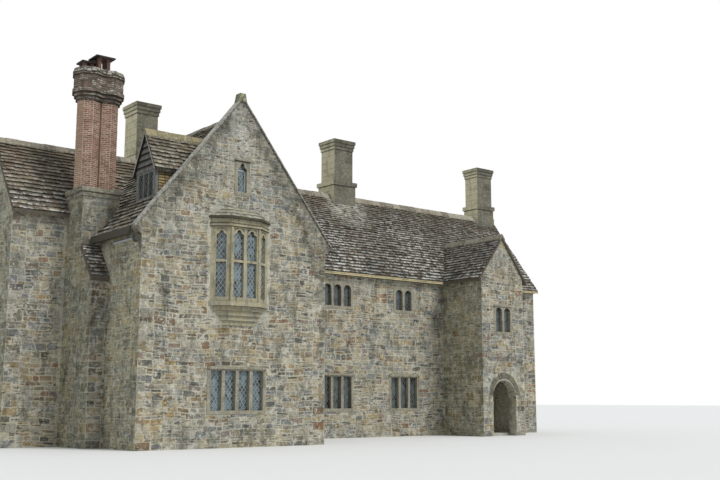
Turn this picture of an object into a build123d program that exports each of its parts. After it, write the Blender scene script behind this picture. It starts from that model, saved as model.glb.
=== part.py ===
# A stone manor house: a cross wing with a parapet gable, a hall bay on its left, a long range on its right.
# Millimetres. X runs along the front, Y into the house and Z up.
# The origin is the centre of the base of the wing's gable wall, at ground level.
import os
from dataclasses import dataclass
from math import atan2, cos, degrees, hypot, pi

from build123d import *

# Walls and floors
WALL_T = 600            # rubble walls of the wing, hall and range
PORCH_WALL_T = 450
ROOF_T = 210            # rafters, battens and stone slabs, square to the slope
COVER_T = 75            # the slabs and battens alone, which also cover the walls' tops
EAVE_OUT = 260          # eaves stand out from the walls
VERGE_OUT = 90          # plain verges stand out from the end gables
FLOOR_T = 220           # boarded floors on their joists
GROUND_FLOOR_T = 120
FIRST_FLOOR_Z = 3600    # top of the first floor
ATTIC_FLOOR_Z = 7850    # top of the wing's attic floor

# The cross wing
WING_W = 7540           # over its side walls
WING_EAVE_Z = 7250
WING_RIDGE_Z = 11750
GABLE_APEX_Z = 12420    # top of the coping's point
GABLE_FOOT_Z = 7330     # top of the coping at its foot
COPING_T = 75
COPING_OUT = 60         # coping in front of the wall face
COPING_D = 340          # front to back: the roof's slabs start behind it
KNEELER_H = 210
SADDLE_W = 360          # apex stone
SADDLE_TOP_W = 220
SADDLE_H = 330
SADDLE_D = 320          # front to back

# The hall bay, left of the wing
HALL_END_X = -6450      # outer face of its end gable
LONG_FRONT_Y = 4250     # outer face of the hall's and the range's front walls
HALL_EAVE_Z = 8180
HALL_RIDGE_Z = 11150
HALL_HALF = 2400        # from the ridge to each eave's edge

# The long range, right of the wing
RANGE_END_X = 20600
RANGE_EAVE_Z = 7110
RANGE_RIDGE_Z = 11200
RANGE_HALF = 3130

# The porch on the range's front
PORCH_X = 15550
PORCH_W = 2740
PORCH_FRONT_Y = 1700
PORCH_EAVE_Z = 7110
PORCH_RIDGE_Z = 9160
PORCH_EAVE_OUT = 200
PORCH_ARCH_W = 1500
PORCH_ARCH_Z = 1750     # springing of its round arch
DOORWAY_W = 1100
DOORWAY_H = 2150

# Window dressings
FRAME_W = 130           # jambs, sills and heads round the lights
FRAME_T = 240           # dressed stone, front to back
FRAME_OUT = 20          # dressings stand proud of the wall
MULLION_W = 130
GLASS_T = 12
LABEL_W = 80            # hood mould round a head
LABEL_OUT = 70

# Window rows: the upper lights are close under the eaves
UPPER_SILL_Z = 5650
UPPER_LIGHT_W = 410
UPPER_SPRING = 720
LOWER_SILL_Z = 1250
LOWER_LIGHT_W = 430
LOWER_LIGHT_H = 1350
FRONT_WINDOWS_X = (7870, 11700, 18550)
REAR_WINDOWS_X = (5600, 9000, 13400, 17800)
END_WINDOW_BEFORE = 1500    # the range's end windows, in front of its ridge
PORCH_SILL_Z = 4700
PORCH_SPRING = 900

# Ridge stones, gutters and cornice
RIDGE_W = 170           # half of the ridge course, across
RIDGE_T = 60
GUTTER_W = 130
GUTTER_H = 250
PIPE_R = 45             # rain pipe along the wing's left wall, up to a round hopper at its front corner
PIPE_Z = 6920
PIPE_END_Y = 1700
PIPE_BED = 5            # pipe and hopper are flattened this much where they lie against the wall
HOPPER_R = 120
HOPPER_L = 220
HOPPER_Z = 6860
CORNICE_H = 190
CORNICE_OUT = 110

# The oriel on the wing's gable
BAY_X = 10
BAY_HALF_FRONT = 560
BAY_HALF_WALL = 1170
BAY_OUT = 380           # its front stands out from the wall
BAY_T = 180             # its stonework, front to back
BAY_SILL_Z = 4950
BAY_TRANSOM_Z = 6310    # underside of the transom
BAY_TRANSOM_H = 90
BAY_LIGHT_W = 400
BAY_SIDE_LIGHT_W = 340
BAY_MULLION_W = 130
BAY_HEAD_Z = 7550       # top of its stonework, under the cornice
BAY_SPRING_Z = 7180     # where the cusped heads spring
BAY_ARCH_RISE = 0.68    # rise of its arches above the spring, as a share of the light's width
BAY_RIM = 50            # plain rim around each arch and each sunk spandrel
BAY_SUNK = 35           # how deep the spandrels are sunk
BAY_SHAFT_R = 50        # slender shaft on each front corner
BAY_SHAFT_SIDES = 8
BAY_MOULD_H = 130       # the cornice, from below: a moulding, a plain band and a slab
BAY_MOULD_OUT = 70
BAY_BAND_H = 150
BAY_BAND_OUT = 25
BAY_SLAB_H = 70
BAY_SLAB_OUT = 115
BAY_ROOF_Z = 8290       # where its stone weathering meets the wall
BAY_SILL_H = 150
BAY_CORBEL_Z = 4150     # foot of the moulded corbel under the oriel
BAY_CORBELS = 4
BAY_FOOT_HALF = 500     # half of the corbel's front at its foot

# The attic light
ATTIC_X = 50
ATTIC_SILL_Z = 8890
ATTIC_LIGHT_W = 370
ATTIC_SPRING_Z = 9600

# The dormer on the wing's left slope
DORMER_Y = 1200
DORMER_FACE_X = -2940
DORMER_W = 1440
DORMER_WALL_T = 110
DORMER_EAVE_Z = 9480
DORMER_RIDGE_Z = 10950
DORMER_ROOF_T = 60
DORMER_EAVE_OUT = 110
DORMER_SILL_Z = 8560
DORMER_HEAD_Z = 9400
DORMER_LIGHTS = 3
DORMER_LIGHT_W = 300
DORMER_POST_W = 70
DORMER_BOARDS = 6       # weatherboards in its gable
BOARD_OUT = 30

# The brick stack between the wing and the hall
STACK_X = -3770
STACK_W = 1380
STACK_FRONT_Y = 2930
STACK_TOP_Z = 8720
STACK_CORNICE_Z = 9050
STACK_CORNICE_OUT = 90
STACK_CORNICE_STEPS = 2
FLUE_GAP = 700          # between the centres of its two octagonal shafts
FLUE_ACROSS = 800       # across the flats of each
FLUE_SIDES = 8
FLUE_WEB_W = 400        # the brickwork that joins them
FLUE_TOP_Z = 12330
FLUE_BORE = 420
FLUE_DEPTH = 900
HEAD_RINGS = 3          # corbelled rings under the drum
RING_OUT = 65           # each ring beyond the last
RING_H = 130
DRUM_OUT = 155          # beyond the shaft
DRUM_H = 530
BAND_H = 90             # the projecting course at the head of the drum
BAND_OUT = 45           # beyond the drum
CREST_H = 180           # the weathered course on top
CREST_IN = 85           # how far it falls back

# The flat stones over the flues, each on four brick posts
COWL_T = 55
COWL_POST_W = 120
LEFT_COWL_X = -450      # its centre, from the stack's middle
LEFT_COWL_Y = 120
LEFT_COWL_W = 560       # along each side
LEFT_COWL_H = 310       # above the head
LEFT_COWL_SPREAD = 400  # over its posts
RIGHT_COWL_X = 60
RIGHT_COWL_Y = -60
RIGHT_COWL_W = 740
RIGHT_COWL_H = 530
RIGHT_COWL_SPREAD = 460

# The lean-to buttress against the stack's front
BUTTRESS_W = 640
BUTTRESS_D = 880
BUTTRESS_TOP_Z = 6830
BUTTRESS_FOOT_Z = 5700
WEATHERING_T = 110
WEATHERING_OUT = 60

# The three ashlar chimneys, placed along the front and behind the range's ridge
CROSSING_X = 55
CROSSING_W = 950
CROSSING_D = 1100
CROSSING_BEHIND = 630
MIDDLE_X = 10240
MIDDLE_W = 1100
MIDDLE_D = 1030
MIDDLE_BEHIND = 265
MIDDLE_BASE_OUT = 100   # the lower block stands out from the shaft
END_X = 19885
END_W = 1070
END_D = 900
END_BEHIND = 200
END_BASE_OUT = 60
LONG_STRING_Z = 11700   # underside of the string course; the crossing chimney has none
CROSSING_TOP_Z = 13920
LONG_CHIMNEY_TOP_Z = 13940
CAP_H = 480
CAP_STEPS = 3
CAP_STEP_OUT = 35
STRING_H = 200
STRING_OUT = 60

# A cusped head's cusp, the foil below it, the shoulder above it and its apex, as shares of the light's width
CUSP = (0.24, 0.50)
FOIL = (0.47, 0.33)
SHOULDER = (0.19, 0.76)
CUSP_RISE = 0.95

# A plain pointed arch's haunch, as shares of its half width and its rise
HAUNCH = (0.72, 0.66)

# A cut reaches this far past what it cuts
PAST = 200

# Values that follow from the sizes above
WING_HALF_WALL = WING_W / 2
WING_HALF = WING_HALF_WALL + EAVE_OUT
GABLE_FRONT_Y = -WALL_T / 2
GABLE_BACK_Y = WALL_T / 2
LONG_EAVE_Y = LONG_FRONT_Y - EAVE_OUT
HALL_RIDGE_Y = LONG_EAVE_Y + HALL_HALF
HALL_BACK_Y = HALL_RIDGE_Y + HALL_HALF - EAVE_OUT
RANGE_RIDGE_Y = LONG_EAVE_Y + RANGE_HALF
RANGE_BACK_Y = RANGE_RIDGE_Y + RANGE_HALF - EAVE_OUT
PORCH_HALF_WALL = PORCH_W / 2
PORCH_HALF = PORCH_HALF_WALL + PORCH_EAVE_OUT
COPING_SLOPE = (GABLE_APEX_Z - GABLE_FOOT_Z) / WING_HALF
COPING_DROP = COPING_T * hypot(1, COPING_SLOPE)     # its thickness, measured straight down
COPING_FRONT_Y = GABLE_FRONT_Y - COPING_OUT
COPING_BACK_Y = COPING_FRONT_Y + COPING_D
STACK_Y = (STACK_FRONT_Y + LONG_FRONT_Y) / 2
FLUES_X = (STACK_X - FLUE_GAP / 2, STACK_X + FLUE_GAP / 2)
HALL_MIDDLE_X = (HALL_END_X + WALL_T - WING_HALF_WALL) / 2
END_WINDOW_Y = RANGE_RIDGE_Y - END_WINDOW_BEFORE
BAY_SIDE_RUN = BAY_HALF_WALL - BAY_HALF_FRONT
BAY_SIDE_TURN = degrees(atan2(BAY_OUT, BAY_SIDE_RUN))


def block(x0, x1, y0, y1, z0, z1):
    """A box between two opposite corners."""
    return Pos(x0, y0, z0) * Box(x1 - x0, y1 - y0, z1 - z0, align=(Align.MIN, Align.MIN, Align.MIN))


def prism(points, travel):
    """A flat polygon of points in space, pushed along a vector."""
    return Solid.extrude(Face(Wire.make_polygon([Vector(*p) for p in points])), Vector(*travel))


def prism_x(points, x0, x1):
    """A polygon of (y, z) points, pushed from x0 to x1."""
    return prism([(x0, y, z) for y, z in points], (x1 - x0, 0, 0))


def prism_y(points, y0, y1):
    """A polygon of (x, z) points, pushed from y0 to y1."""
    return prism([(x, y0, z) for x, z in points], (0, y1 - y0, 0))


def prism_z(points, z0, z1):
    """A polygon of (x, y) points, pushed from z0 to z1."""
    return prism([(x, y, z0) for x, y in points], (0, 0, z1 - z0))


@dataclass(frozen=True)
class Roof:
    """A pitched roof of two equal slopes, its ridge along X or Y."""

    along: str
    centre: float       # the ridge's place across the building
    half: float         # from the ridge to each eave's edge
    eave: float         # top of the slab at its eave
    ridge: float        # top of the slab at the ridge
    start: float
    end: float
    inner: tuple = None         # the rafters' first and last place along the ridge, between the walls
    inner_half: float = 0       # and how far they reach from the ridge
    cover: float = COVER_T

    @property
    def slope(self):
        return (self.ridge - self.eave) / self.half

    @property
    def drop(self):
        """The cover's thickness, measured straight down."""
        return self.cover * hypot(1, self.slope)

    def push(self, section, start=None, end=None):
        """A section of (across, z) points, pushed along the ridge."""
        start = self.start if start is None else start
        end = self.end if end is None else end
        points = [(self.centre + across, z) for across, z in section]
        return prism_x(points, start, end) if self.along == "x" else prism_y(points, start, end)

    def slope_plate(self, side, half, thick, start, end):
        """A plate under one slope: side is -1 or 1, across the ridge."""
        edge, foot = side * half, self.ridge - self.slope * half
        drop = thick * hypot(1, self.slope)
        section = [(0, self.ridge), (edge, foot), (edge, foot - drop), (0, self.ridge - drop)]
        return self.push(section, start, end)

    def slab(self, side):
        """One slope of the roof: thin slabs out to its edges, on rafters between the walls."""
        plate = self.slope_plate(side, self.half, self.cover, self.start, self.end)
        if self.inner:
            plate += self.slope_plate(side, self.inner_half, ROOF_T, *self.inner)
        return plate

    def space(self, half=None):
        """All that lies under the cover, down to the ground, out to half from the ridge."""
        half = half or self.half
        foot = self.ridge - self.slope * half - self.drop
        return self.push([(0, self.ridge - self.drop), (half, foot), (half, 0), (-half, 0), (-half, foot)])

    def mass(self, wall_half):
        """The roof's outer form and the building below it, out to its wall faces and past its far end."""
        shoulder = self.ridge - self.slope * wall_half
        return self.push([(0, self.ridge), (wall_half, shoulder), (wall_half, 0), (-wall_half, 0),
                          (-wall_half, shoulder)], self.start, self.end + WALL_T)

    def ridge_course(self, start=None, end=None):
        """The row of ridge stones, bedded on both slopes."""
        low = self.ridge - self.slope * RIDGE_W
        lift = RIDGE_T * hypot(1, self.slope)
        return self.push([(-RIDGE_W, low), (0, self.ridge), (RIDGE_W, low), (RIDGE_W, low + lift),
                          (0, self.ridge + lift), (-RIDGE_W, low + lift)], start, end)


WING = Roof("y", 0, WING_HALF, WING_EAVE_Z, WING_RIDGE_Z, COPING_BACK_Y, RANGE_BACK_Y + VERGE_OUT,
            (GABLE_BACK_Y, RANGE_BACK_Y - WALL_T), WING_HALF_WALL - WALL_T)
HALL = Roof("x", HALL_RIDGE_Y, HALL_HALF, HALL_EAVE_Z, HALL_RIDGE_Z, HALL_END_X - VERGE_OUT, 0,
            (HALL_END_X + WALL_T, 0), HALL_HALF - EAVE_OUT - WALL_T)
RANGE = Roof("x", RANGE_RIDGE_Y, RANGE_HALF, RANGE_EAVE_Z, RANGE_RIDGE_Z, 0, RANGE_END_X + VERGE_OUT,
             (0, RANGE_END_X - WALL_T), RANGE_HALF - EAVE_OUT - WALL_T)
PORCH = Roof("y", PORCH_X, PORCH_HALF, PORCH_EAVE_Z, PORCH_RIDGE_Z, PORCH_FRONT_Y - VERGE_OUT, RANGE_RIDGE_Y,
             (PORCH_FRONT_Y + PORCH_WALL_T, RANGE_RIDGE_Y), PORCH_HALF_WALL - PORCH_WALL_T)
DORMER = Roof("x", DORMER_Y, DORMER_W / 2 + DORMER_EAVE_OUT, DORMER_EAVE_Z, DORMER_RIDGE_Z,
              DORMER_FACE_X - DORMER_EAVE_OUT, 0, cover=DORMER_ROOF_T)
DORMER_SPACE = DORMER.space(DORMER_W / 2)


@dataclass(frozen=True)
class Window:
    """A row of lights in a dressed stone frame. Its own frame looks along -Y, with the sill's top at Z 0."""

    x: float
    y: float            # outer face of its wall
    sill: float
    lights: int
    light_w: float
    spring: float       # height of the straight jambs
    head: str           # round, cusped or square
    turn: float = 0     # about Z, so that it faces another side
    label: bool = True

    @property
    def place(self):
        return Pos(self.x, self.y, self.sill) * Rot(0, 0, self.turn)

    @property
    def rise(self):
        """Height of the head above the springing."""
        return {"round": self.light_w / 2, "cusped": CUSP_RISE * self.light_w, "square": 0}[self.head]

    @property
    def width(self):
        return self.lights * self.light_w + (self.lights - 1) * MULLION_W

    @property
    def height(self):
        return self.spring + self.rise

    def each_light(self, y0, y1):
        """The lights as solids between two depths, in the window's own frame."""
        pitch = self.light_w + MULLION_W
        first = -(self.lights - 1) / 2 * pitch
        return [Pos(first + i * pitch, 0, 0) * light(self.light_w, self.spring, self.head, y0, y1)
                for i in range(self.lights)]

    def hole(self):
        """What the frame and the room behind it take out of the wall."""
        half = self.width / 2 + FRAME_W
        return self.place * block(-half, half, -PAST, WALL_T + PAST, -FRAME_W, self.height + FRAME_W)

    def stone(self):
        """Jambs, mullions, sill, head and, where it has one, the label mould over them."""
        half = self.width / 2 + FRAME_W
        top = self.height + FRAME_W
        frame = block(-half, half, -FRAME_OUT, FRAME_T, -FRAME_W, top)
        for opening in self.each_light(-PAST, FRAME_T + PAST):
            frame -= opening
        if self.label:
            frame += block(-half, half, -LABEL_OUT, -FRAME_OUT, top - LABEL_W, top)
        return self.place * frame

    def panes(self):
        """One pane of glass in each light."""
        mid = FRAME_T / 2
        return [self.place * pane for pane in self.each_light(mid, mid + GLASS_T)]


def light(width, spring, head, y0, y1, rise=CUSP_RISE):
    """One light as a solid: straight jambs under a square, round or cusped head."""
    half = width / 2
    left, right = (-half, spring), (half, spring)
    jambs = Polyline(left, (-half, 0), (half, 0), right)
    if head == "square":
        outline = jambs + Line(right, left)
    elif head == "round":
        outline = jambs + ThreePointArc(right, (0, spring + half), left)
    else:
        apex = (0, spring + rise * width)
        lift = width * rise / CUSP_RISE
        cusp, foil, shoulder = [(x * width, spring + z * lift) for x, z in (CUSP, FOIL, SHOULDER)]
        outline = jambs + ThreePointArc(right, foil, cusp) + ThreePointArc(cusp, shoulder, apex)
        outline += ThreePointArc(apex, (-shoulder[0], shoulder[1]), (-cusp[0], cusp[1]))
        outline += ThreePointArc((-cusp[0], cusp[1]), (-foil[0], foil[1]), left)
    face = make_face(outline)
    return extrude(Plane((0, y0, 0), x_dir=(1, 0, 0), z_dir=(0, -1, 0)) * face, -(y1 - y0))


ATTIC = Window(ATTIC_X, GABLE_FRONT_Y, ATTIC_SILL_Z, 1, ATTIC_LIGHT_W, ATTIC_SPRING_Z - ATTIC_SILL_Z,
               "cusped")
WING_LOWER = Window(0, GABLE_FRONT_Y, LOWER_SILL_Z, 4, LOWER_LIGHT_W, LOWER_LIGHT_H, "square")


def upper_window(x, y, lights, turn=0, head="round"):
    """A row of lights close under the eaves, round headed on the sides that show most."""
    return Window(x, y, UPPER_SILL_Z, lights, UPPER_LIGHT_W, UPPER_SPRING, head, turn, label=False)


def lower_window(x, y, lights, turn=0):
    """A row of square-headed ground-floor lights."""
    return Window(x, y, LOWER_SILL_Z, lights, LOWER_LIGHT_W, LOWER_LIGHT_H, "square", turn)


RANGE_WINDOWS = [upper_window(x, LONG_FRONT_Y, 3 if x == FRONT_WINDOWS_X[0] else 2) for x in FRONT_WINDOWS_X]
RANGE_WINDOWS += [lower_window(x, LONG_FRONT_Y, 3) for x in FRONT_WINDOWS_X]
REAR_WINDOWS = [upper_window(x, RANGE_BACK_Y, 2, 180, "square") for x in REAR_WINDOWS_X]
REAR_WINDOWS += [lower_window(x, RANGE_BACK_Y, 3, 180) for x in REAR_WINDOWS_X]
WING_REAR_WINDOWS = [upper_window(0, RANGE_BACK_Y, 3, 180, "square"), lower_window(0, RANGE_BACK_Y, 3, 180)]
HALL_REAR_WINDOWS = [upper_window(HALL_MIDDLE_X, HALL_BACK_Y, 2, 180, "square"),
                     lower_window(HALL_MIDDLE_X, HALL_BACK_Y, 2, 180)]
HALL_END_WINDOWS = [upper_window(HALL_END_X, HALL_RIDGE_Y, 3, -90),
                    lower_window(HALL_END_X, HALL_RIDGE_Y, 3, -90)]
RANGE_END_WINDOWS = [upper_window(RANGE_END_X, END_WINDOW_Y, 2, 90),
                     lower_window(RANGE_END_X, END_WINDOW_Y, 2, 90)]
PORCH_WINDOW = Window(PORCH_X, PORCH_FRONT_Y, PORCH_SILL_Z, 2, UPPER_LIGHT_W, PORCH_SPRING, "round")


@dataclass(frozen=True)
class Chimney:
    """A square ashlar chimney with a moulded cap, standing on the ground and rising through the roof."""

    x: float
    y: float
    width: float
    depth: float
    top: float
    base_out: float = 0
    string_z: float = 0     # 0 where it has no string course

    def course(self, out, low, high):
        """One course of the chimney, standing out from its shaft."""
        half_w, half_d = self.width / 2 + out, self.depth / 2 + out
        return block(self.x - half_w, self.x + half_w, self.y - half_d, self.y + half_d, low, high)

    def base(self):
        """The block below the string course, or below the cap."""
        return self.course(self.base_out, 0, self.string_z or self.top - CAP_H)

    def whole(self):
        """The chimney from the ground to the top of its cap."""
        cap_z = self.top - CAP_H
        solid = self.base()
        if self.string_z:
            shaft_z = self.string_z + STRING_H
            solid += self.course(self.base_out + STRING_OUT, self.string_z, shaft_z)
            solid += self.course(0, shaft_z, cap_z)
        step = CAP_H / CAP_STEPS
        for i in range(CAP_STEPS):
            solid += self.course((i + 1) * CAP_STEP_OUT, cap_z + i * step, cap_z + (i + 1) * step)
        return solid


CROSSING = Chimney(CROSSING_X, RANGE_RIDGE_Y + CROSSING_BEHIND, CROSSING_W, CROSSING_D, CROSSING_TOP_Z)
MIDDLE = Chimney(MIDDLE_X, RANGE_RIDGE_Y + MIDDLE_BEHIND, MIDDLE_W, MIDDLE_D, LONG_CHIMNEY_TOP_Z,
                 MIDDLE_BASE_OUT, LONG_STRING_Z)
END = Chimney(END_X, RANGE_RIDGE_Y + END_BEHIND, END_W, END_D, LONG_CHIMNEY_TOP_Z,
              END_BASE_OUT, LONG_STRING_Z)
CHIMNEYS = {"crossing_chimney": CROSSING, "middle_chimney": MIDDLE, "end_chimney": END}


def without(solid, *cuts):
    """A solid less each of the cuts."""
    for cut in cuts:
        solid = solid - cut
    return solid


def stack_block():
    """The square stone base of the brick stack."""
    half = STACK_W / 2
    return block(STACK_X - half, STACK_X + half, STACK_FRONT_Y, LONG_FRONT_Y, 0, STACK_TOP_Z)


def stack_base():
    """The base with its two-step cornice."""
    half = STACK_W / 2
    solid = stack_block()
    rise = (STACK_CORNICE_Z - STACK_TOP_Z) / STACK_CORNICE_STEPS
    for i in range(STACK_CORNICE_STEPS):
        out = STACK_CORNICE_OUT * (i + 1) / STACK_CORNICE_STEPS
        low = STACK_TOP_Z + i * rise
        solid += block(STACK_X - half - out, STACK_X + half + out, STACK_FRONT_Y - out, LONG_FRONT_Y + out,
                       low, low + rise)
    return solid


def octagons(out, low, high, top_out=None):
    """Two octagons side by side. They stand out from the shafts' faces by out, and by top_out at the top."""
    top_out = out if top_out is None else top_out
    pair = None
    for x in FLUES_X:
        rings = []
        for grow, z in ((out, low), (top_out, high)):
            radius = (FLUE_ACROSS / 2 + grow) / cos(pi / FLUE_SIDES)
            rings.append(Pos(x, STACK_Y, z) * RegularPolygon(radius, FLUE_SIDES))
        shaft = extrude(rings[0], high - low) if top_out == out else loft(rings)
        pair = shaft if pair is None else pair + shaft
    web = FLUE_WEB_W / 2
    return pair + block(*FLUES_X, STACK_Y - web, STACK_Y + web, low, high)


def stack_shafts():
    """Twin brick shafts on one brick footing."""
    return octagons(0, STACK_CORNICE_Z, FLUE_TOP_Z)


def head_courses():
    """The head's courses from the foot up: how far each stands out, below and above, and its height."""
    rings = [((i + 1) * RING_OUT, (i + 1) * RING_OUT, RING_H) for i in range(HEAD_RINGS)]
    band = DRUM_OUT + BAND_OUT
    return rings + [(DRUM_OUT, DRUM_OUT, DRUM_H), (band, band, BAND_H), (band, band - CREST_IN, CREST_H)]


STACK_HEAD_Z = FLUE_TOP_Z + sum(height for _, _, height in head_courses())


def stack_head():
    """Corbelled rings, the drum, its band and the crest, with the flues open at the top."""
    solid = None
    low = FLUE_TOP_Z
    for out, top_out, height in head_courses():
        course = octagons(out, low, low + height, top_out)
        solid = course if solid is None else solid + course
        low += height
    for x in FLUES_X:
        solid -= Pos(x, STACK_Y, STACK_HEAD_Z - FLUE_DEPTH) * Cylinder(
            FLUE_BORE / 2, FLUE_DEPTH + PAST, align=(Align.CENTER, Align.CENTER, Align.MIN))
    return solid


def cowl(across, behind, width, height, spread):
    """A flat square stone on four brick posts, placed from the stack's middle and above its head."""
    x, y = STACK_X + across, STACK_Y + behind
    half, reach = width / 2, spread / 2
    top = STACK_HEAD_Z + height
    solid = block(x - half, x + half, y - half, y + half, top - COWL_T, top)
    for x0 in (x - reach, x + reach - COWL_POST_W):
        for y0 in (y - reach, y + reach - COWL_POST_W):
            solid += block(x0, x0 + COWL_POST_W, y0, y0 + COWL_POST_W, STACK_HEAD_Z, top - COWL_T)
    return solid


def stack_cowls():
    """The two flat stones over the flues."""
    left = cowl(LEFT_COWL_X, LEFT_COWL_Y, LEFT_COWL_W, LEFT_COWL_H, LEFT_COWL_SPREAD)
    right = cowl(RIGHT_COWL_X, RIGHT_COWL_Y, RIGHT_COWL_W, RIGHT_COWL_H, RIGHT_COWL_SPREAD)
    return left, right


def buttress():
    """A lean-to pier against the stack, under a steep weathering."""
    x1 = -WING_HALF_WALL
    x0 = x1 - BUTTRESS_W
    front = STACK_FRONT_Y - BUTTRESS_D
    side = [(front, 0), (STACK_FRONT_Y, 0), (STACK_FRONT_Y, BUTTRESS_TOP_Z), (front, BUTTRESS_FOOT_Z)]
    pier = prism_x(side, x0, x1)
    slope = (BUTTRESS_TOP_Z - BUTTRESS_FOOT_Z) / BUTTRESS_D
    lift = WEATHERING_T * hypot(1, slope)
    low = front - WEATHERING_OUT
    low_z = BUTTRESS_FOOT_Z - slope * WEATHERING_OUT
    slab = prism_x([(low, low_z), (STACK_FRONT_Y, BUTTRESS_TOP_Z), (STACK_FRONT_Y, BUTTRESS_TOP_Z + lift),
                    (low, low_z + lift)], x0 - WEATHERING_OUT, x1)
    return pier, slab - WING.slab(-1)


def gable_wall():
    """The wing's parapet gable wall: it rises to the coping in front, and to the roof behind it."""
    apex = GABLE_APEX_Z - COPING_DROP
    foot = apex - COPING_SLOPE * WING_HALF_WALL
    outline = [(-WING_HALF_WALL, 0), (WING_HALF_WALL, 0), (WING_HALF_WALL, foot), (0, apex),
               (-WING_HALF_WALL, foot)]
    wall = prism_y(outline, GABLE_FRONT_Y, COPING_BACK_Y)
    wall += prism_y(outline, COPING_BACK_Y, GABLE_BACK_Y) & WING.space()
    half = BAY_HALF_WALL - BAY_T
    bay_hole = block(BAY_X - half, BAY_X + half, GABLE_FRONT_Y - PAST, GABLE_BACK_Y + PAST,
                     BAY_SILL_Z, BAY_HEAD_Z)
    return without(wall, bay_hole, ATTIC.hole(), WING_LOWER.hole())


def gable_coping():
    """Thin coping slabs up both verges, with kneelers at their feet and a saddle stone on top."""
    under_foot, under_apex = GABLE_FOOT_Z - COPING_DROP, GABLE_APEX_Z - COPING_DROP
    slabs = prism_y([(-WING_HALF, GABLE_FOOT_Z), (0, GABLE_APEX_Z), (WING_HALF, GABLE_FOOT_Z),
                     (WING_HALF, under_foot), (0, under_apex), (-WING_HALF, under_foot)],
                    COPING_FRONT_Y, COPING_BACK_Y)
    wall_top = under_foot + COPING_SLOPE * EAVE_OUT
    for side in (-1, 1):
        inner, outer = side * WING_HALF_WALL, side * WING_HALF
        slabs += prism_y([(inner, wall_top), (outer, under_foot), (inner, under_foot - KNEELER_H)],
                         GABLE_FRONT_Y, COPING_BACK_Y)
    half, crown = SADDLE_W / 2, SADDLE_TOP_W / 2
    low = GABLE_APEX_Z - COPING_SLOPE * half
    saddle = prism_y([(-half, low), (0, GABLE_APEX_Z), (half, low), (crown, low + SADDLE_H),
                      (-crown, low + SADDLE_H)], COPING_FRONT_Y, COPING_FRONT_Y + SADDLE_D)
    return slabs + saddle


def bay_plan(grow=0):
    """The oriel's plan from the wall face out, grown by a margin."""
    y = GABLE_FRONT_Y
    out = BAY_OUT + grow
    front = BAY_HALF_FRONT + grow
    wall = BAY_HALF_WALL + grow
    return [(BAY_X - wall, y), (BAY_X - front, y - out), (BAY_X + front, y - out), (BAY_X + wall, y)]


def bay_light_places():
    """Each light's place: on the front, and turned on each canted side."""
    pitch = (BAY_LIGHT_W + BAY_MULLION_W) / 2
    y = GABLE_FRONT_Y - BAY_OUT
    places = [(Pos(BAY_X + side * pitch, y, 0), BAY_LIGHT_W) for side in (-1, 1)]
    middle = (BAY_HALF_FRONT + BAY_HALF_WALL) / 2
    for side in (-1, 1):
        spot = Pos(BAY_X + side * middle, GABLE_FRONT_Y - BAY_OUT / 2, 0) * Rot(0, 0, side * BAY_SIDE_TURN)
        places.append((spot, BAY_SIDE_LIGHT_W))
    return places


def bay_lights(y0, y1):
    """Every light of the oriel as a solid: plain below the transom, cusped above it."""
    solids = []
    upper_sill = BAY_TRANSOM_Z + BAY_TRANSOM_H
    for place, width in bay_light_places():
        low = light(width, BAY_TRANSOM_Z - BAY_SILL_Z - BAY_SILL_H, "square", y0, y1)
        high = light(width, BAY_SPRING_Z - upper_sill, "cusped", y0, y1, BAY_ARCH_RISE)
        solids.append(place * Pos(0, 0, BAY_SILL_Z + BAY_SILL_H) * low)
        solids.append(place * Pos(0, 0, upper_sill) * high)
    return solids


def bay_spandrels():
    """The sunk spandrels on both sides of each arch, as solids."""
    solids = []
    for place, width in bay_light_places():
        half = width / 2 + BAY_RIM
        rise = BAY_ARCH_RISE * width + BAY_RIM
        right, left, apex = (half, BAY_SPRING_Z), (-half, BAY_SPRING_Z), (0, BAY_SPRING_Z + rise)
        haunch = (HAUNCH[0] * half, BAY_SPRING_Z + HAUNCH[1] * rise)
        outline = Line(left, right) + ThreePointArc(right, haunch, apex)
        outline += ThreePointArc(apex, (-haunch[0], haunch[1]), left)
        arch = extrude(Plane((0, -PAST, 0), x_dir=(1, 0, 0), z_dir=(0, -1, 0)) * make_face(outline),
                       -(PAST + BAY_SUNK + PAST))
        panel = block(-width / 2, width / 2, -PAST, BAY_SUNK, BAY_SPRING_Z, BAY_HEAD_Z - BAY_RIM)
        solids.append(place * (panel - arch))
    return solids


def bay_shafts():
    """The slender shafts on the oriel's two front corners."""
    shafts = []
    for x, y in bay_plan()[1:3]:
        shaft = extrude(RegularPolygon(BAY_SHAFT_R, BAY_SHAFT_SIDES), BAY_HEAD_Z - BAY_SILL_Z)
        shafts.append(Pos(x, y, BAY_SILL_Z) * shaft)
    return shafts


def bay_stone():
    """The oriel's mullions, transom, cusped heads and corner shafts, cut from one canted shell."""
    outer = prism_z(bay_plan(), BAY_SILL_Z, BAY_HEAD_Z)
    inner = prism_z([(x, y + BAY_T) for x, y in bay_plan()] + [(BAY_X + BAY_HALF_WALL, GABLE_BACK_Y),
                                                             (BAY_X - BAY_HALF_WALL, GABLE_BACK_Y)],
                    BAY_SILL_Z - PAST, BAY_HEAD_Z + PAST)
    shell = outer - inner
    for shaft in bay_shafts():
        shell += shaft
    return without(shell, *bay_lights(-PAST, BAY_T + PAST), *bay_spandrels())


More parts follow.
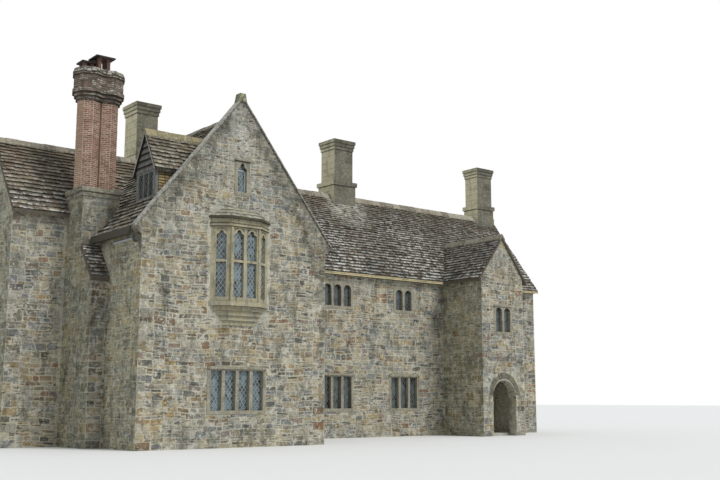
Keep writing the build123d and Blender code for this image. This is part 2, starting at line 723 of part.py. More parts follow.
def bay_apron():
    """The moulded corbel that carries the oriel, with its sill course."""
    sill = prism_z(bay_plan(BAY_MOULD_OUT), BAY_SILL_Z - BAY_SILL_H, BAY_SILL_Z)
    solid = sill
    rise = (BAY_SILL_Z - BAY_SILL_H - BAY_CORBEL_Z) / BAY_CORBELS
    for i in range(BAY_CORBELS):
        share = (i + 1) / (BAY_CORBELS + 1)
        wall = BAY_HALF_FRONT + (BAY_HALF_WALL - BAY_HALF_FRONT) * share
        front = BAY_FOOT_HALF + (BAY_HALF_FRONT - BAY_FOOT_HALF) * share
        out = BAY_OUT * share
        y = GABLE_FRONT_Y
        plan = [(BAY_X - wall, y), (BAY_X - front, y - out), (BAY_X + front, y - out), (BAY_X + wall, y)]
        solid += prism_z(plan, BAY_CORBEL_Z + i * rise, BAY_CORBEL_Z + (i + 1) * rise)
    return solid


def bay_roof():
    """The oriel's cornice and its stone weathering, sloping back to the wall."""
    band = BAY_HEAD_Z + BAY_MOULD_H
    slab = band + BAY_BAND_H
    top = slab + BAY_SLAB_H
    cornice = prism_z(bay_plan(BAY_MOULD_OUT), BAY_HEAD_Z, band)
    cornice += prism_z(bay_plan(BAY_BAND_OUT), band, slab)
    cornice += prism_z(bay_plan(BAY_SLAB_OUT), slab, top)
    a, b, c, d = [Vector(x, y, top) for x, y in bay_plan(BAY_MOULD_OUT)]
    e, f = [Vector(BAY_X + side * BAY_HALF_FRONT, GABLE_FRONT_Y, BAY_ROOF_Z) for side in (-1, 1)]
    rings = ([a, b, c, d], [a, b, e], [b, c, f, e], [c, d, f], [d, a, e, f])
    return cornice + Solid(Shell([Face(Wire.make_polygon(ring)) for ring in rings]))


def wing_walls():
    """The wing's side and back walls, under its roof."""
    space = WING.space()
    inner = WING_HALF_WALL - WALL_T
    back = RANGE_BACK_Y - WALL_T
    left = block(-WING_HALF_WALL, -inner, GABLE_BACK_Y, back, 0, WING_RIDGE_Z) & space
    right = block(inner, WING_HALF_WALL, GABLE_BACK_Y, back, 0, WING_RIDGE_Z) & space
    rear = block(-WING_HALF_WALL, WING_HALF_WALL, back, RANGE_BACK_Y, 0, WING_RIDGE_Z) & space
    return without(left, stack_block()), right, without(rear, *[w.hole() for w in WING_REAR_WINDOWS])


def dormer_hole():
    """What the dormer takes out of the roof slab: the space between its cheeks."""
    half = DORMER_W / 2
    room = block(DORMER_FACE_X, 0, DORMER_Y - half, DORMER_Y + half, ATTIC_FLOOR_Z, DORMER_RIDGE_Z)
    return room & DORMER_SPACE


def wing_roofs():
    """Both slopes of the wing's roof. Its eaves stop where the hall and the range run into its walls."""
    hall_joint = block(-WING_HALF - PAST, -WING_HALF_WALL, LONG_EAVE_Y, HALL_RIDGE_Y + HALL_HALF,
                       0, WING_RIDGE_Z)
    range_joint = block(WING_HALF_WALL, WING_HALF + PAST, LONG_EAVE_Y, WING.end + PAST, 0, WING_RIDGE_Z)
    left = without(WING.slab(-1), dormer_hole(), stack_base(), CROSSING.whole(), hall_joint)
    right = without(WING.slab(1), CROSSING.whole(), range_joint)
    return left, right


def over_wing_roof(solid):
    """What of a solid lies above the wing's roof slab."""
    return solid - WING.mass(WING_HALF_WALL)


def dormer_front():
    """The timber front: posts, sill and head round three lights, with a boarded gable over them."""
    half = DORMER_W / 2
    x0, x1 = DORMER_FACE_X, DORMER_FACE_X + DORMER_WALL_T
    face = block(x0, x1, DORMER_Y - half, DORMER_Y + half, WING_EAVE_Z, DORMER_RIDGE_Z) & DORMER_SPACE
    for opening in dormer_lights(x0 - PAST, x1 + PAST):
        face -= opening
    rise = (DORMER_RIDGE_Z - DORMER.drop - DORMER_HEAD_Z - DORMER_POST_W) / DORMER_BOARDS
    low = DORMER_HEAD_Z + DORMER_POST_W
    for i in range(DORMER_BOARDS):
        z = low + i * rise
        board = prism_y([(x0, z), (x0 - BOARD_OUT, z), (x0, z + rise)], DORMER_Y - half, DORMER_Y + half)
        face += board & DORMER_SPACE
    return over_wing_roof(face)


def dormer_lights(x0, x1):
    """The dormer's three lights as solids between two depths."""
    pitch = DORMER_LIGHT_W + DORMER_POST_W
    first = DORMER_Y - (DORMER_LIGHTS - 1) / 2 * pitch
    half = DORMER_LIGHT_W / 2
    return [block(x0, x1, first + i * pitch - half, first + i * pitch + half, DORMER_SILL_Z, DORMER_HEAD_Z)
            for i in range(DORMER_LIGHTS)]


def dormer_cheeks():
    """The dormer's two side walls."""
    half = DORMER_W / 2
    x0 = DORMER_FACE_X + DORMER_WALL_T
    cheeks = []
    for y0 in (DORMER_Y - half, DORMER_Y + half - DORMER_WALL_T):
        cheek = block(x0, 0, y0, y0 + DORMER_WALL_T, WING_EAVE_Z, DORMER_RIDGE_Z) & DORMER_SPACE
        cheeks.append(over_wing_roof(cheek))
    return cheeks


def dormer_roof():
    """The dormer's own little roof, run back into the wing's slope."""
    return [over_wing_roof(DORMER.slab(side)) for side in (-1, 1)]


def hall_walls():
    """The hall bay's front, end and back walls."""
    space = HALL.space()
    x0, x1 = HALL_END_X, HALL_END_X + WALL_T
    end = block(x0, x1, LONG_FRONT_Y, HALL_BACK_Y, 0, HALL_RIDGE_Z) & space
    front = block(x1, -WING_HALF_WALL, LONG_FRONT_Y, LONG_FRONT_Y + WALL_T, 0, HALL_RIDGE_Z) & space
    back = block(x1, -WING_HALF_WALL, HALL_BACK_Y - WALL_T, HALL_BACK_Y, 0, HALL_RIDGE_Z) & space
    front = over_wing_roof(front)
    back = over_wing_roof(back)
    return (front, without(end, *[w.hole() for w in HALL_END_WINDOWS]),
            without(back, *[w.hole() for w in HALL_REAR_WINDOWS]))


def range_walls():
    """The range's front wall in three pieces round its doorway, and its end and back walls."""
    space = RANGE.space()
    x0, x1 = WING_HALF_WALL, RANGE_END_X - WALL_T
    holes = [w.hole() for w in RANGE_WINDOWS]
    left_jamb, right_jamb = PORCH_X - DOORWAY_W / 2, PORCH_X + DOORWAY_W / 2
    bays = [(x0, left_jamb, 0), (left_jamb, right_jamb, DOORWAY_H), (right_jamb, x1, 0)]
    fronts = []
    for low_x, high_x, low_z in bays:
        wall = block(low_x, high_x, LONG_FRONT_Y, LONG_FRONT_Y + WALL_T, low_z, RANGE_RIDGE_Z) & space
        fronts.append(over_wing_roof(without(wall, *holes)))
    back = block(x0, x1, RANGE_BACK_Y - WALL_T, RANGE_BACK_Y, 0, RANGE_RIDGE_Z) & space
    back = over_wing_roof(without(back, *[w.hole() for w in REAR_WINDOWS]))
    end = block(x1, RANGE_END_X, LONG_FRONT_Y, RANGE_BACK_Y, 0, RANGE_RIDGE_Z) & space
    return fronts, without(end, END.base(), *[w.hole() for w in RANGE_END_WINDOWS]), back


def porch_walls():
    """The porch's side walls and its front, with a round-arched doorway."""
    space = PORCH.space()
    inner = PORCH_HALF_WALL - PORCH_WALL_T
    left, right = PORCH_X - PORCH_HALF_WALL, PORCH_X + PORCH_HALF_WALL
    back = PORCH_FRONT_Y + PORCH_WALL_T
    sides = [block(x, x + PORCH_WALL_T, back, LONG_FRONT_Y, 0, PORCH_RIDGE_Z) & space
             for x in (left, PORCH_X + inner)]
    front = block(left, right, PORCH_FRONT_Y, back, 0, PORCH_RIDGE_Z) & space
    arch = Pos(PORCH_X, 0, 0) * light(PORCH_ARCH_W, PORCH_ARCH_Z, "round", PORCH_FRONT_Y - PAST, back + PAST)
    return sides, without(front, arch, PORCH_WINDOW.hole())


def porch_block():
    """All that the porch takes up in front of the range's wall."""
    return block(PORCH_X - PORCH_HALF_WALL, PORCH_X + PORCH_HALF_WALL, PORCH_FRONT_Y, LONG_FRONT_Y, 0,
                 PORCH_RIDGE_Z)


def range_cornice():
    """The dressed stone string close under the range's eaves, broken where the porch stands."""
    top = RANGE_EAVE_Z - RANGE.drop + RANGE.slope * (EAVE_OUT - CORNICE_OUT)
    bar = block(WING_HALF_WALL, RANGE_END_X, LONG_FRONT_Y - CORNICE_OUT, LONG_FRONT_Y, top - CORNICE_H, top)
    return over_wing_roof(bar - porch_block())


def range_roofs():
    """Both slopes of the range's roof. Its front eave stops where the porch runs into its wall."""
    chimneys = [c.whole() for c in CHIMNEYS.values()]
    front = without(over_wing_roof(RANGE.slab(-1)), porch_block() & PORCH.space(), *chimneys)
    return front, without(over_wing_roof(RANGE.slab(1)), *chimneys)


def over_range_roof(solid):
    """What of a solid lies above the range's roof."""
    return solid - RANGE.mass(RANGE_HALF)


def along_wing(radius, start, end, z):
    """A round bar that lies against the wing's left wall."""
    spot = Pos(PIPE_BED - WING_HALF_WALL - radius, (start + end) / 2, z)
    bar = spot * Rot(90, 0, 0) * Cylinder(radius, end - start)
    wall = block(-WING_HALF_WALL, 0, start - PAST, end + PAST, z - radius, z + radius)
    return bar - wall


def wing_gutter():
    """The box gutter along the wing's left eave."""
    low = WING_EAVE_Z - GUTTER_H
    end = STACK_FRONT_Y - STACK_CORNICE_OUT
    return block(-WING_HALF - GUTTER_W, -WING_HALF, COPING_BACK_Y, end, low, WING_EAVE_Z)


def wing_rain_pipe():
    """The rain pipe on the wing's left wall and the round hopper that it runs into."""
    hopper = along_wing(HOPPER_R, GABLE_FRONT_Y, GABLE_FRONT_Y + HOPPER_L, HOPPER_Z)
    pipe = along_wing(PIPE_R, GABLE_FRONT_Y + HOPPER_L / 2, PIPE_END_Y, PIPE_Z)
    return hopper + pipe


def floors():
    """The boarded floors: the first floor in every part, and the wing's attic floor."""
    wing_in = WING_HALF_WALL - WALL_T
    low = FIRST_FLOOR_Z - FLOOR_T
    rooms = [(-wing_in, wing_in, GABLE_BACK_Y, RANGE_BACK_Y - WALL_T),
             (WING_HALF_WALL, RANGE_END_X - WALL_T, LONG_FRONT_Y + WALL_T, RANGE_BACK_Y - WALL_T),
             (HALL_END_X + WALL_T, -WING_HALF_WALL, LONG_FRONT_Y + WALL_T, HALL_BACK_Y - WALL_T),
             (PORCH_X - PORCH_HALF_WALL + PORCH_WALL_T, PORCH_X + PORCH_HALF_WALL - PORCH_WALL_T,
              PORCH_FRONT_Y + PORCH_WALL_T, LONG_FRONT_Y)]
    chimneys = [c.base() for c in CHIMNEYS.values()] + [stack_block()]
    first = [without(block(*room, low, FIRST_FLOOR_Z), *chimneys) for room in rooms]
    ground = [without(block(*room, 0, GROUND_FLOOR_T), *chimneys) for room in rooms]
    attic = without(block(*rooms[0], ATTIC_FLOOR_Z - FLOOR_T, ATTIC_FLOOR_Z), *chimneys)
    return ground, first, attic


def save(name, *solids):
    """Write one node's solids as a STEP file."""
    pieces = []
    for group in solids:
        shapes = group if isinstance(group, (list, tuple)) else [group]
        pieces += [piece for shape in shapes for piece in shape.solids()]
    export_step(Compound(label=name, children=pieces), f"parts/{name}.step")


def main():
    """Build every node and write it out."""
    os.makedirs("parts", exist_ok=True)
    chimneys = [c.whole() for c in CHIMNEYS.values()]
    save("wing_gable_wall", gable_wall())
    save("wing_gable_coping", gable_coping())
    left, right, rear = wing_walls()
    save("wing_left_wall", left)
    save("wing_right_wall", right)
    save("wing_back_wall", rear)
    left_roof, right_roof = wing_roofs()
    save("wing_left_roof", left_roof)
    save("wing_right_roof", right_roof)
    save("bay_window_stone", bay_stone())
    save("bay_window_corbel", bay_apron())
    save("bay_window_roof", bay_roof())
    save("bay_window_glass", bay_lights(BAY_T / 2, BAY_T / 2 + GLASS_T))
    save("gable_windows_stone", ATTIC.stone(), WING_LOWER.stone())
    save("gable_windows_glass", ATTIC.panes(), WING_LOWER.panes())
    save("dormer_front", dormer_front())
    save("dormer_cheeks", dormer_cheeks())
    save("dormer_roof", dormer_roof())
    mid = DORMER_FACE_X + DORMER_WALL_T / 2
    save("dormer_glass", dormer_lights(mid, mid + GLASS_T))
    save("stack_base", stack_base())
    save("stack_shafts", stack_shafts())
    save("stack_head", stack_head())
    save("stack_cowls", stack_cowls())
    pier, weathering = buttress()
    save("stack_buttress", pier)
    save("buttress_weathering", weathering)
    front, end, back = hall_walls()
    save("hall_front_wall", without(front, stack_base()))
    save("hall_end_wall", end)
    save("hall_back_wall", back)
    save("hall_front_roof", without(over_wing_roof(HALL.slab(-1)), stack_base(), chimneys[0]))
    save("hall_back_roof", without(over_wing_roof(HALL.slab(1)), chimneys[0]))
    fronts, end, back = range_walls()
    save("range_front_wall_left", fronts[0])
    save("range_doorway_head", fronts[1])
    save("range_front_wall_right", fronts[2])
    save("range_end_wall", end)
    save("range_back_wall", back)
    front_roof, back_roof = range_roofs()
    save("range_front_roof", front_roof)
    save("range_back_roof", back_roof)
    save("range_cornice", range_cornice())
    save("range_windows_stone", [w.stone() for w in RANGE_WINDOWS])
    save("range_windows_glass", *[w.panes() for w in RANGE_WINDOWS])
    rear_windows = REAR_WINDOWS + WING_REAR_WINDOWS + HALL_REAR_WINDOWS
    save("rear_windows_stone", [w.stone() for w in rear_windows])
    save("rear_windows_glass", *[w.panes() for w in rear_windows])
    end_windows = HALL_END_WINDOWS + RANGE_END_WINDOWS
    save("end_windows_stone", [w.stone() for w in end_windows])
    save("end_windows_glass", *[w.panes() for w in end_windows])
    sides, porch_front = porch_walls()
    save("porch_side_walls", sides)
    save("porch_front_wall", porch_front)
    save("porch_window_stone", PORCH_WINDOW.stone())
    save("porch_window_glass", PORCH_WINDOW.panes())
    save("porch_roof", [over_range_roof(PORCH.slab(side)) for side in (-1, 1)])
    ridges = [WING.ridge_course() - chimneys[0],
              without(over_wing_roof(HALL.ridge_course()), WING.ridge_course()),
              without(over_wing_roof(RANGE.ridge_course()), WING.ridge_course(), *chimneys),
              over_range_roof(PORCH.ridge_course())]
    save("ridge_stones", ridges)
    save("wing_gutter", wing_gutter())
    save("wing_rain_pipe", wing_rain_pipe())
    for name, chimney in zip(CHIMNEYS, chimneys):
        save(name, chimney)
    ground, first, attic = floors()
    save("ground_floor", ground)
    save("first_floor", first)
    save("attic_floor", attic)


if __name__ == "__main__":
    main()
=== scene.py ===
"""Looks for a stone manor house: rubble facings, slab roofs, brick stack, leaded lights and a studio."""

import logging
import math
import random
from dataclasses import dataclass, field
from enum import Enum
from typing import Iterable, Optional, Sequence

import bpy
import numpy as np
from mathutils import Matrix, Vector


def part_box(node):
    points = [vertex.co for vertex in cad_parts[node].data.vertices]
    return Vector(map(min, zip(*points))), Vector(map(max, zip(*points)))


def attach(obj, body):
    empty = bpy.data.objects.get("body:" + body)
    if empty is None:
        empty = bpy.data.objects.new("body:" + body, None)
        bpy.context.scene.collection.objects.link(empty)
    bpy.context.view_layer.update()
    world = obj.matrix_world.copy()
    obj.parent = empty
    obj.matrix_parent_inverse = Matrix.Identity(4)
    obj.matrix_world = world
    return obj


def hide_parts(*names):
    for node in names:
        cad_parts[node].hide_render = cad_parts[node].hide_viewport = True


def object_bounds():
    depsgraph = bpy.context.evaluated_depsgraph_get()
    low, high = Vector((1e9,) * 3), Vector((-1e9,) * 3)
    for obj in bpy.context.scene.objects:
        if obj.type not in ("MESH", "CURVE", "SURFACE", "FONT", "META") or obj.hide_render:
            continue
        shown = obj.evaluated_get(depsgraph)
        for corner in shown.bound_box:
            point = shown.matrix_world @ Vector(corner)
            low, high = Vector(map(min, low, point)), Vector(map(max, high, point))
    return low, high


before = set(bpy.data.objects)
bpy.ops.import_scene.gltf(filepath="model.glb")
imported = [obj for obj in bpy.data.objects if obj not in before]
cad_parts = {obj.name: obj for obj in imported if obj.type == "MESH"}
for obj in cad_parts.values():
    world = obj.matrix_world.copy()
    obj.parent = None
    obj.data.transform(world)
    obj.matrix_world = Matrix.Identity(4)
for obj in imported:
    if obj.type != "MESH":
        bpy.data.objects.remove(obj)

logging.basicConfig(level=logging.INFO, format="%(message)s")
LOG = logging.getLogger("manor")

BODY = "root"
CAD_BOX = [list(corner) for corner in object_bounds()]
ON_PLANE = 0.004
MIDDLE_OF_HOUSE = (np.array(CAD_BOX[0]) + np.array(CAD_BOX[1])) / 2

Point2 = tuple[float, float]
Rect = tuple[float, float, float, float]
Colour = tuple[float, float, float]


def srgb(red: int, green: int, blue: int) -> Colour:
    """Turn an 8-bit display colour into the linear colour that the shaders take.

    Args:
        red: The red channel, 0 to 255.
        green: The green channel.
        blue: The blue channel.

    Returns:
        The linear colour.
    """

    def linear(channel: int) -> float:
        """One channel."""
        share = channel / 255
        return share / 12.92 if share <= 0.04045 else ((share + 0.055) / 1.055) ** 2.4

    return (linear(red), linear(green), linear(blue))


def neutral(level: float) -> Colour:
    """A colour factor with three equal channels."""
    return (level,) * 3


class Sock:
    """One output of a node, with arithmetic that adds Math nodes."""

    def __init__(self, graph: "NodeGraph", socket: bpy.types.NodeSocket) -> None:
        """Keep the graph that the socket belongs to."""
        self.graph = graph
        self.socket = socket

    def math(self, operation: str, other: "Sock | float" = 0.0, swap: bool = False) -> "Sock":
        """Add one Math node."""
        operands = (other, self) if swap else (self, other)
        return self.graph.node("ShaderNodeMath", {"operation": operation}, dict(enumerate(operands)))

    def __add__(self, other: "Sock | float") -> "Sock":
        """Sum."""
        return self.math("ADD", other)

    __radd__ = __add__

    def __mul__(self, other: "Sock | float") -> "Sock":
        """Product."""
        return self.math("MULTIPLY", other)

    __rmul__ = __mul__

    def __truediv__(self, other: "Sock | float") -> "Sock":
        """Quotient."""
        return self.math("DIVIDE", other)

    def __sub__(self, other: "Sock | float") -> "Sock":
        """Difference."""
        return self.math("SUBTRACT", other)

    def __rsub__(self, other: float) -> "Sock":
        """Difference from a number."""
        return self.math("SUBTRACT", other, swap=True)

    def steps(self, low: float, high: float) -> "Sock":
        """Stretch the range from low to high over 0 to 1, and clamp it."""
        given = {"Value": self, "From Min": low, "From Max": high}
        return self.graph.node("ShaderNodeMapRange", {"clamp": True}, given)


class NodeGraph:
    """A node tree that Python expressions fill."""

    def __init__(self, tree: bpy.types.NodeTree) -> None:
        """Start from an empty tree."""
        tree.nodes.clear()
        self.tree = tree

    def node(self, kind: str, settings: Optional[dict] = None, inputs: Optional[dict] = None,
             out: "int | str" = 0) -> Sock:
        """Add a node.

        Args:
            kind: The node's type.
            settings: Attributes that are set before its sockets, or a ramp's stops.
            inputs: Values or links by socket name or number.
            out: The output that is returned.

        Returns:
            The chosen output.
        """
        made = self.tree.nodes.new(kind)
        for key, value in (settings or {}).items():
            if key == "stops":
                self.fill_ramp(made.color_ramp, value)
            else:
                setattr(made, key, value)
        for key, value in (inputs or {}).items():
            self.give(made.inputs[key], value)
        return Sock(self, made.outputs[out])

    def give(self, target: bpy.types.NodeSocket, value: object) -> None:
        """Link an input, or set its value.

        Args:
            target: The input.
            value: What it takes.
        """
        if isinstance(value, Sock):
            self.tree.links.new(value.socket, target)
        else:
            target.default_value = value

    def end(self, kind: str, key: "int | str", value: Sock) -> None:
        """Add the tree's output node and feed it."""
        self.give(self.tree.nodes.new(kind).inputs[key], value)

    @staticmethod
    def fill_ramp(ramp: bpy.types.ColorRamp, stops: Sequence[tuple[float, Colour]]) -> None:
        """Fill a colour ramp with its stops, each colour held up to the next.

        Args:
            ramp: The ramp.
            stops: The place and the colour of each stop.
        """
        ramp.interpolation = "CONSTANT"
        while len(ramp.elements) < len(stops):
            ramp.elements.new(1.0)
        for element, (place, colour) in zip(ramp.elements, stops):
            element.position = place
            element.color = (*colour, 1)


class Graph(NodeGraph):
    """A material's node tree. Its colour is built up in coats, one over the other."""

    # The colour sockets of a Mix node, by number.
    FACTOR, FIRST, SECOND, MIXED = 0, 6, 7, 2
    SOFT_EDGE, HARD_EDGE = 0.012, 0.002

    def __init__(self, name: str, colour: Colour = (0.0, 0.0, 0.0)) -> None:
        """Start a material of that name with its first colour.

        Args:
            name: The material's name.
            colour: Its first colour.
        """
        self.material = bpy.data.materials.new(name)
        self.material.use_nodes = True
        super().__init__(self.material.node_tree)
        self.coords = self.node("ShaderNodeTexCoord", out="Object")
        self.colour: "Sock | Colour" = colour

    def tones(self, colours: Sequence[Colour]) -> None:
        """Start with a palette's colour, picked by each piece's own tone.

        Args:
            colours: The palette.
        """
        self.colour = colours[0]
        if len(colours) > 1:
            stops = [(i / len(colours), colour) for i, colour in enumerate(colours)]
            self.colour = self.node("ShaderNodeValToRGB", {"stops": stops}, {0: self.attribute("tone")})

    def coat(self, share: "Sock | float", colour: "Sock | Colour") -> None:
        """Lay a colour over a share of the surface."""
        self.colour = self.mix(share, self.colour, colour)

    def tint(self, factor: "Sock | Colour") -> None:
        """Multiply the colour by a factor."""
        self.colour = self.mix(1.0, self.colour, factor, "MULTIPLY")

    def vary(self, share: Sock, low: Colour, high: Colour) -> None:
        """Multiply the colour by a factor that runs from low to high."""
        self.tint(self.mix(share, low, high))

    def noise(self, scale: float, detail: float = 4, rough: float = 0.6,
              stretch: Sequence[float] = ()) -> Sock:
        """Fractal noise over the object's own coordinates, which may be scaled along each axis.

        Args:
            scale: How fine it is.
            detail: How many octaves it has.
            rough: How strong the finer ones are.
            stretch: The scale along each axis, where it isn't 1.

        Returns:
            The noise, from 0 to 1.
        """
        place = self.coords
        if stretch:
            place = self.node("ShaderNodeMapping", inputs={"Vector": place, "Scale": stretch})
        given = {"Vector": place, "Scale": scale, "Detail": detail, "Roughness": rough}
        return self.node("ShaderNodeTexNoise", inputs=given)

    def attribute(self, name: str) -> Sock:
        """A number stored on the mesh."""
        return self.node("ShaderNodeAttribute", {"attribute_name": name}, out="Fac")

    def place(self, axis: str) -> Sock:
        """One coordinate of the object's own frame: X, Y or Z."""
        return self.node("ShaderNodeSeparateXYZ", inputs={0: self.coords}, out=axis)

    def shadows(self, levels: Sequence[float], height: float = 0.032) -> Sock:
        """A dark line below each of some heights, from 0 to 1: painted shadow under a moulding.

        Args:
            levels: The heights.
            height: How tall the line is.

        Returns:
            The share of painted shadow.
        """
        total = 0.0
        for level in levels:
            z, foot = self.place("Z"), level - height
            above_foot = z.steps(foot - self.SOFT_EDGE, foot)
            total = above_foot * (1.0 - z.steps(level - self.HARD_EDGE, level)) + total
        return total

    def near(self, point: tuple[float, float, float], reach: float) -> Sock:
        """How near the surface lies to a point: 1 at the point, 0 at the reach and beyond."""
        settings = {"operation": "DISTANCE"}
        away = self.node("ShaderNodeVectorMath", settings, {0: self.coords, 1: point}, out="Value")
        return 1.0 - away.steps(0.0, reach)

    def normal(self, axis: str) -> Sock:
        """One component of the surface's normal: X, Y or Z."""
        normal = self.node("ShaderNodeNewGeometry", out="Normal")
        return self.node("ShaderNodeSeparateXYZ", inputs={0: normal}, out=axis)

    def against(self, axis: str, full: float = -0.90, none: float = -0.75) -> Sock:
        """How far the surface looks against an axis: 1 where its normal is below full, 0 where above none."""
        return 1.0 - self.normal(axis).steps(full, none)

    def underside(self) -> Sock:
        """How far the surface looks down, from 0 to 1."""
        return self.against("Z", -0.50, -0.20)

    def mix(self, share: "Sock | float", first: "Sock | Colour", second: "Sock | Colour",
            blend: str = "MIX") -> Sock:
        """Mix two colours."""
        given = {self.FACTOR: share, self.FIRST: self.opaque(first), self.SECOND: self.opaque(second)}
        return self.node("ShaderNodeMix", {"data_type": "RGBA", "blend_type": blend}, given, self.MIXED)

    @staticmethod
    def opaque(colour: "Sock | Colour") -> "Sock | tuple[float, ...]":
        """A colour the way a socket takes it: a link, or four numbers."""
        return colour if isinstance(colour, Sock) else (*colour, 1)

    def surface(self, roughness: "Sock | float", height: Optional[Sock] = None, depth: float = 0.01,
                **fixed: float) -> bpy.types.Material:
        """Finish the material with one shader that shows the colour.

        Args:
            roughness: The roughness.
            height: What the bump reads, if anything.
            depth: How far a height of 1 stands up, in metres.
            fixed: Plain values of other sockets, with underscores for spaces.

        Returns:
            The material.
        """
        inputs: dict = {"Base Color": self.opaque(self.colour), "Roughness": roughness}
        inputs |= {key.replace("_", " "): value for key, value in fixed.items()}
        if height is not None:
            inputs["Normal"] = self.node("ShaderNodeBump", inputs={"Height": height, "Distance": depth})
        shader = self.node("ShaderNodeBsdfPrincipled", inputs=inputs)
        self.end("ShaderNodeOutputMaterial", "Surface", shader)
        return self.material


@dataclass(frozen=True)
class StoneFinish:
    """Weathered stone: each block takes its colour from a palette by its own tone."""

    name: str
    palette: tuple[Colour, ...]
    lichen: Colour = srgb(190, 188, 176)
    lichen_share: float = 0.35
    # Used for real stains, and also for painted shade under mouldings, on front faces and on undersides.
    stain_and_shade: Colour = srgb(64, 62, 54)
    stain_share: float = 0.35
    grain: float = 38.0
    relief: float = 0.012
    contrast: float = 0.28
    dark_from: float = 0.0
    front_shade: float = 0.0
    spots_from: float = 0.53
    under: tuple[float, ...] = ()
    left: Colour = srgb(196, 188, 154)
    left_share: float = 0.0

    def material(self) -> bpy.types.Material:
        """Build the shader.

        Returns:
            The material.
        """
        graph = Graph(self.name)
        fine = graph.noise(self.grain, 6, 0.7)
        blotch = graph.noise(9.0, 6, 0.65)
        graph.tones(self.palette)
        graph.vary(fine.steps(0.30, 0.72), neutral(1 - self.contrast), neutral(1 + self.contrast))
        graph.vary(graph.noise(1.3, 5).steps(0.3, 0.7), (0.84, 0.84, 0.85), (1.12, 1.11, 1.07))
        if self.left_share:
            graph.coat(graph.against("X") * self.left_share, self.left)
        graph.coat(graph.noise(2.4, 6, 0.7).steps(0.50, 0.72) * self.stain_share, self.stain_and_shade)
        graph.coat(blotch.steps(self.spots_from, self.spots_from + 0.06) * self.lichen_share, self.lichen)
        if self.under:
            # Painted shadow: a dark line under each moulding.
            graph.coat(graph.shadows(self.under) * 0.7, self.stain_and_shade)
        if self.dark_from:
            high = graph.place("Z").steps(self.dark_from, self.dark_from + 0.5)
            graph.coat(high * blotch.steps(0.35, 0.60) * 0.75, self.stain_and_shade)
        # Painted shade on the faces turned to the front.
        if self.front_shade:
            graph.coat(graph.against("Y", -0.95, -0.80) * self.front_shade, self.stain_and_shade)
        # Painted shade on the faces turned down.
        graph.coat(graph.underside() * 0.75, self.stain_and_shade)
        height = fine * 0.5 + blotch * 0.8
        return graph.surface(0.95 - fine * 0.1, height, self.relief, Specular_IOR_Level=0.2)


@dataclass(frozen=True)
class RubbleFinish:
    """Old walling. Stones and joints share the same lichen, rain stains and slobbered lime."""

    name: str
    palette: tuple[Colour, ...]
    lime: Colour = srgb(202, 198, 184)
    grey: Colour = srgb(134, 138, 136)
    pale: Colour = srgb(196, 194, 184)
    ochre: Colour = srgb(156, 134, 92)
    dark: Colour = srgb(66, 65, 55)
    even: Colour = srgb(146, 148, 141)
    mossy: Colour = srgb(166, 162, 118)
    shade: float = 1.0
    verge_top: float = 12.25
    verge_slope: float = 1.36

    def material(self) -> bpy.types.Material:
        """Build the shader.

        Returns:
            The material.
        """
        graph = Graph(self.name)
        fine = graph.noise(24.0, 8, 0.78)
        speck = graph.noise(9.5, 8, 0.72)
        middle = graph.noise(3.1, 7, 0.7)
        top = graph.place("Z").steps(6.0, 12.0)
        graph.tones(self.palette)
        graph.coat(top * 0.36, self.even)
        graph.coat(graph.against("X") * 0.30, self.mossy)
        graph.vary(fine.steps(0.36, 0.64), neutral(0.64), neutral(1.33))
        graph.vary(graph.noise(0.85, 6, 0.65).steps(0.38, 0.62), (0.80, 0.83, 0.88), (1.16, 1.12, 1.03))
        graph.coat(middle.steps(0.50, 0.60) * (top * 0.28 + 0.16), self.grey)
        graph.coat(graph.noise(1.7, 6, 0.7).steps(0.54, 0.68) * (0.50 - top * 0.40), self.ochre)
        graph.coat(graph.noise(5.3, 8, 0.75).steps(0.53, 0.58) * (0.72 - top * 0.40), self.lime)
        graph.coat(speck.steps(0.555, 0.60) * (top * 0.50 + 0.35), self.pale)
        graph.coat(graph.noise(2.7, 8, 0.75).steps(0.54, 0.62) * (top * 0.50 + 0.12), self.pale)
        graph.coat(graph.noise(2.3, 7, 0.72, (1.0, 1.0, 0.45)).steps(0.50, 0.68) * 0.70, self.dark)
        graph.coat(self.streak(graph) * speck.steps(0.42, 0.56) * 0.75, self.pale)
        graph.coat(graph.noise(7.0, 7, 0.72, (0.6, 0.6, 1.9)).steps(0.565, 0.62) * 0.88, self.dark)
        graph.coat(self.verge(graph) * middle.steps(0.36, 0.60) * 0.62, self.dark)
        graph.tint(neutral(self.shade))
        height = fine * 0.5 + speck + middle * 0.8
        return graph.surface(0.95 - fine * 0.08, height, 0.016, Specular_IOR_Level=0.15)

    @staticmethod
    def on_front(graph: Graph) -> Sock:
        """1 on the wing's front, and 0 behind it."""
        return 1.0 - graph.place("Y").steps(-0.26, -0.22)

    def streak(self, graph: Graph) -> Sock:
        """The pale lichen that runs down the wing's front from its apex, from 0 to 1."""
        off = (graph.place("X") - 0.05).math("ABSOLUTE")
        return (1.0 - off.steps(0.10, 0.62)) * graph.place("Z").steps(9.6, 10.6) * self.on_front(graph)

    def verge(self, graph: Graph) -> Sock:
        """How near a point of the wing's front lies to its coping, from 0 to 1, more widely on the right."""
        x = graph.place("X")
        reach = graph.place("Z") + x.math("ABSOLUTE") * self.verge_slope + x.steps(0.0, 3.5) * 0.9
        return reach.steps(self.verge_top - 1.1, self.verge_top) * self.on_front(graph)


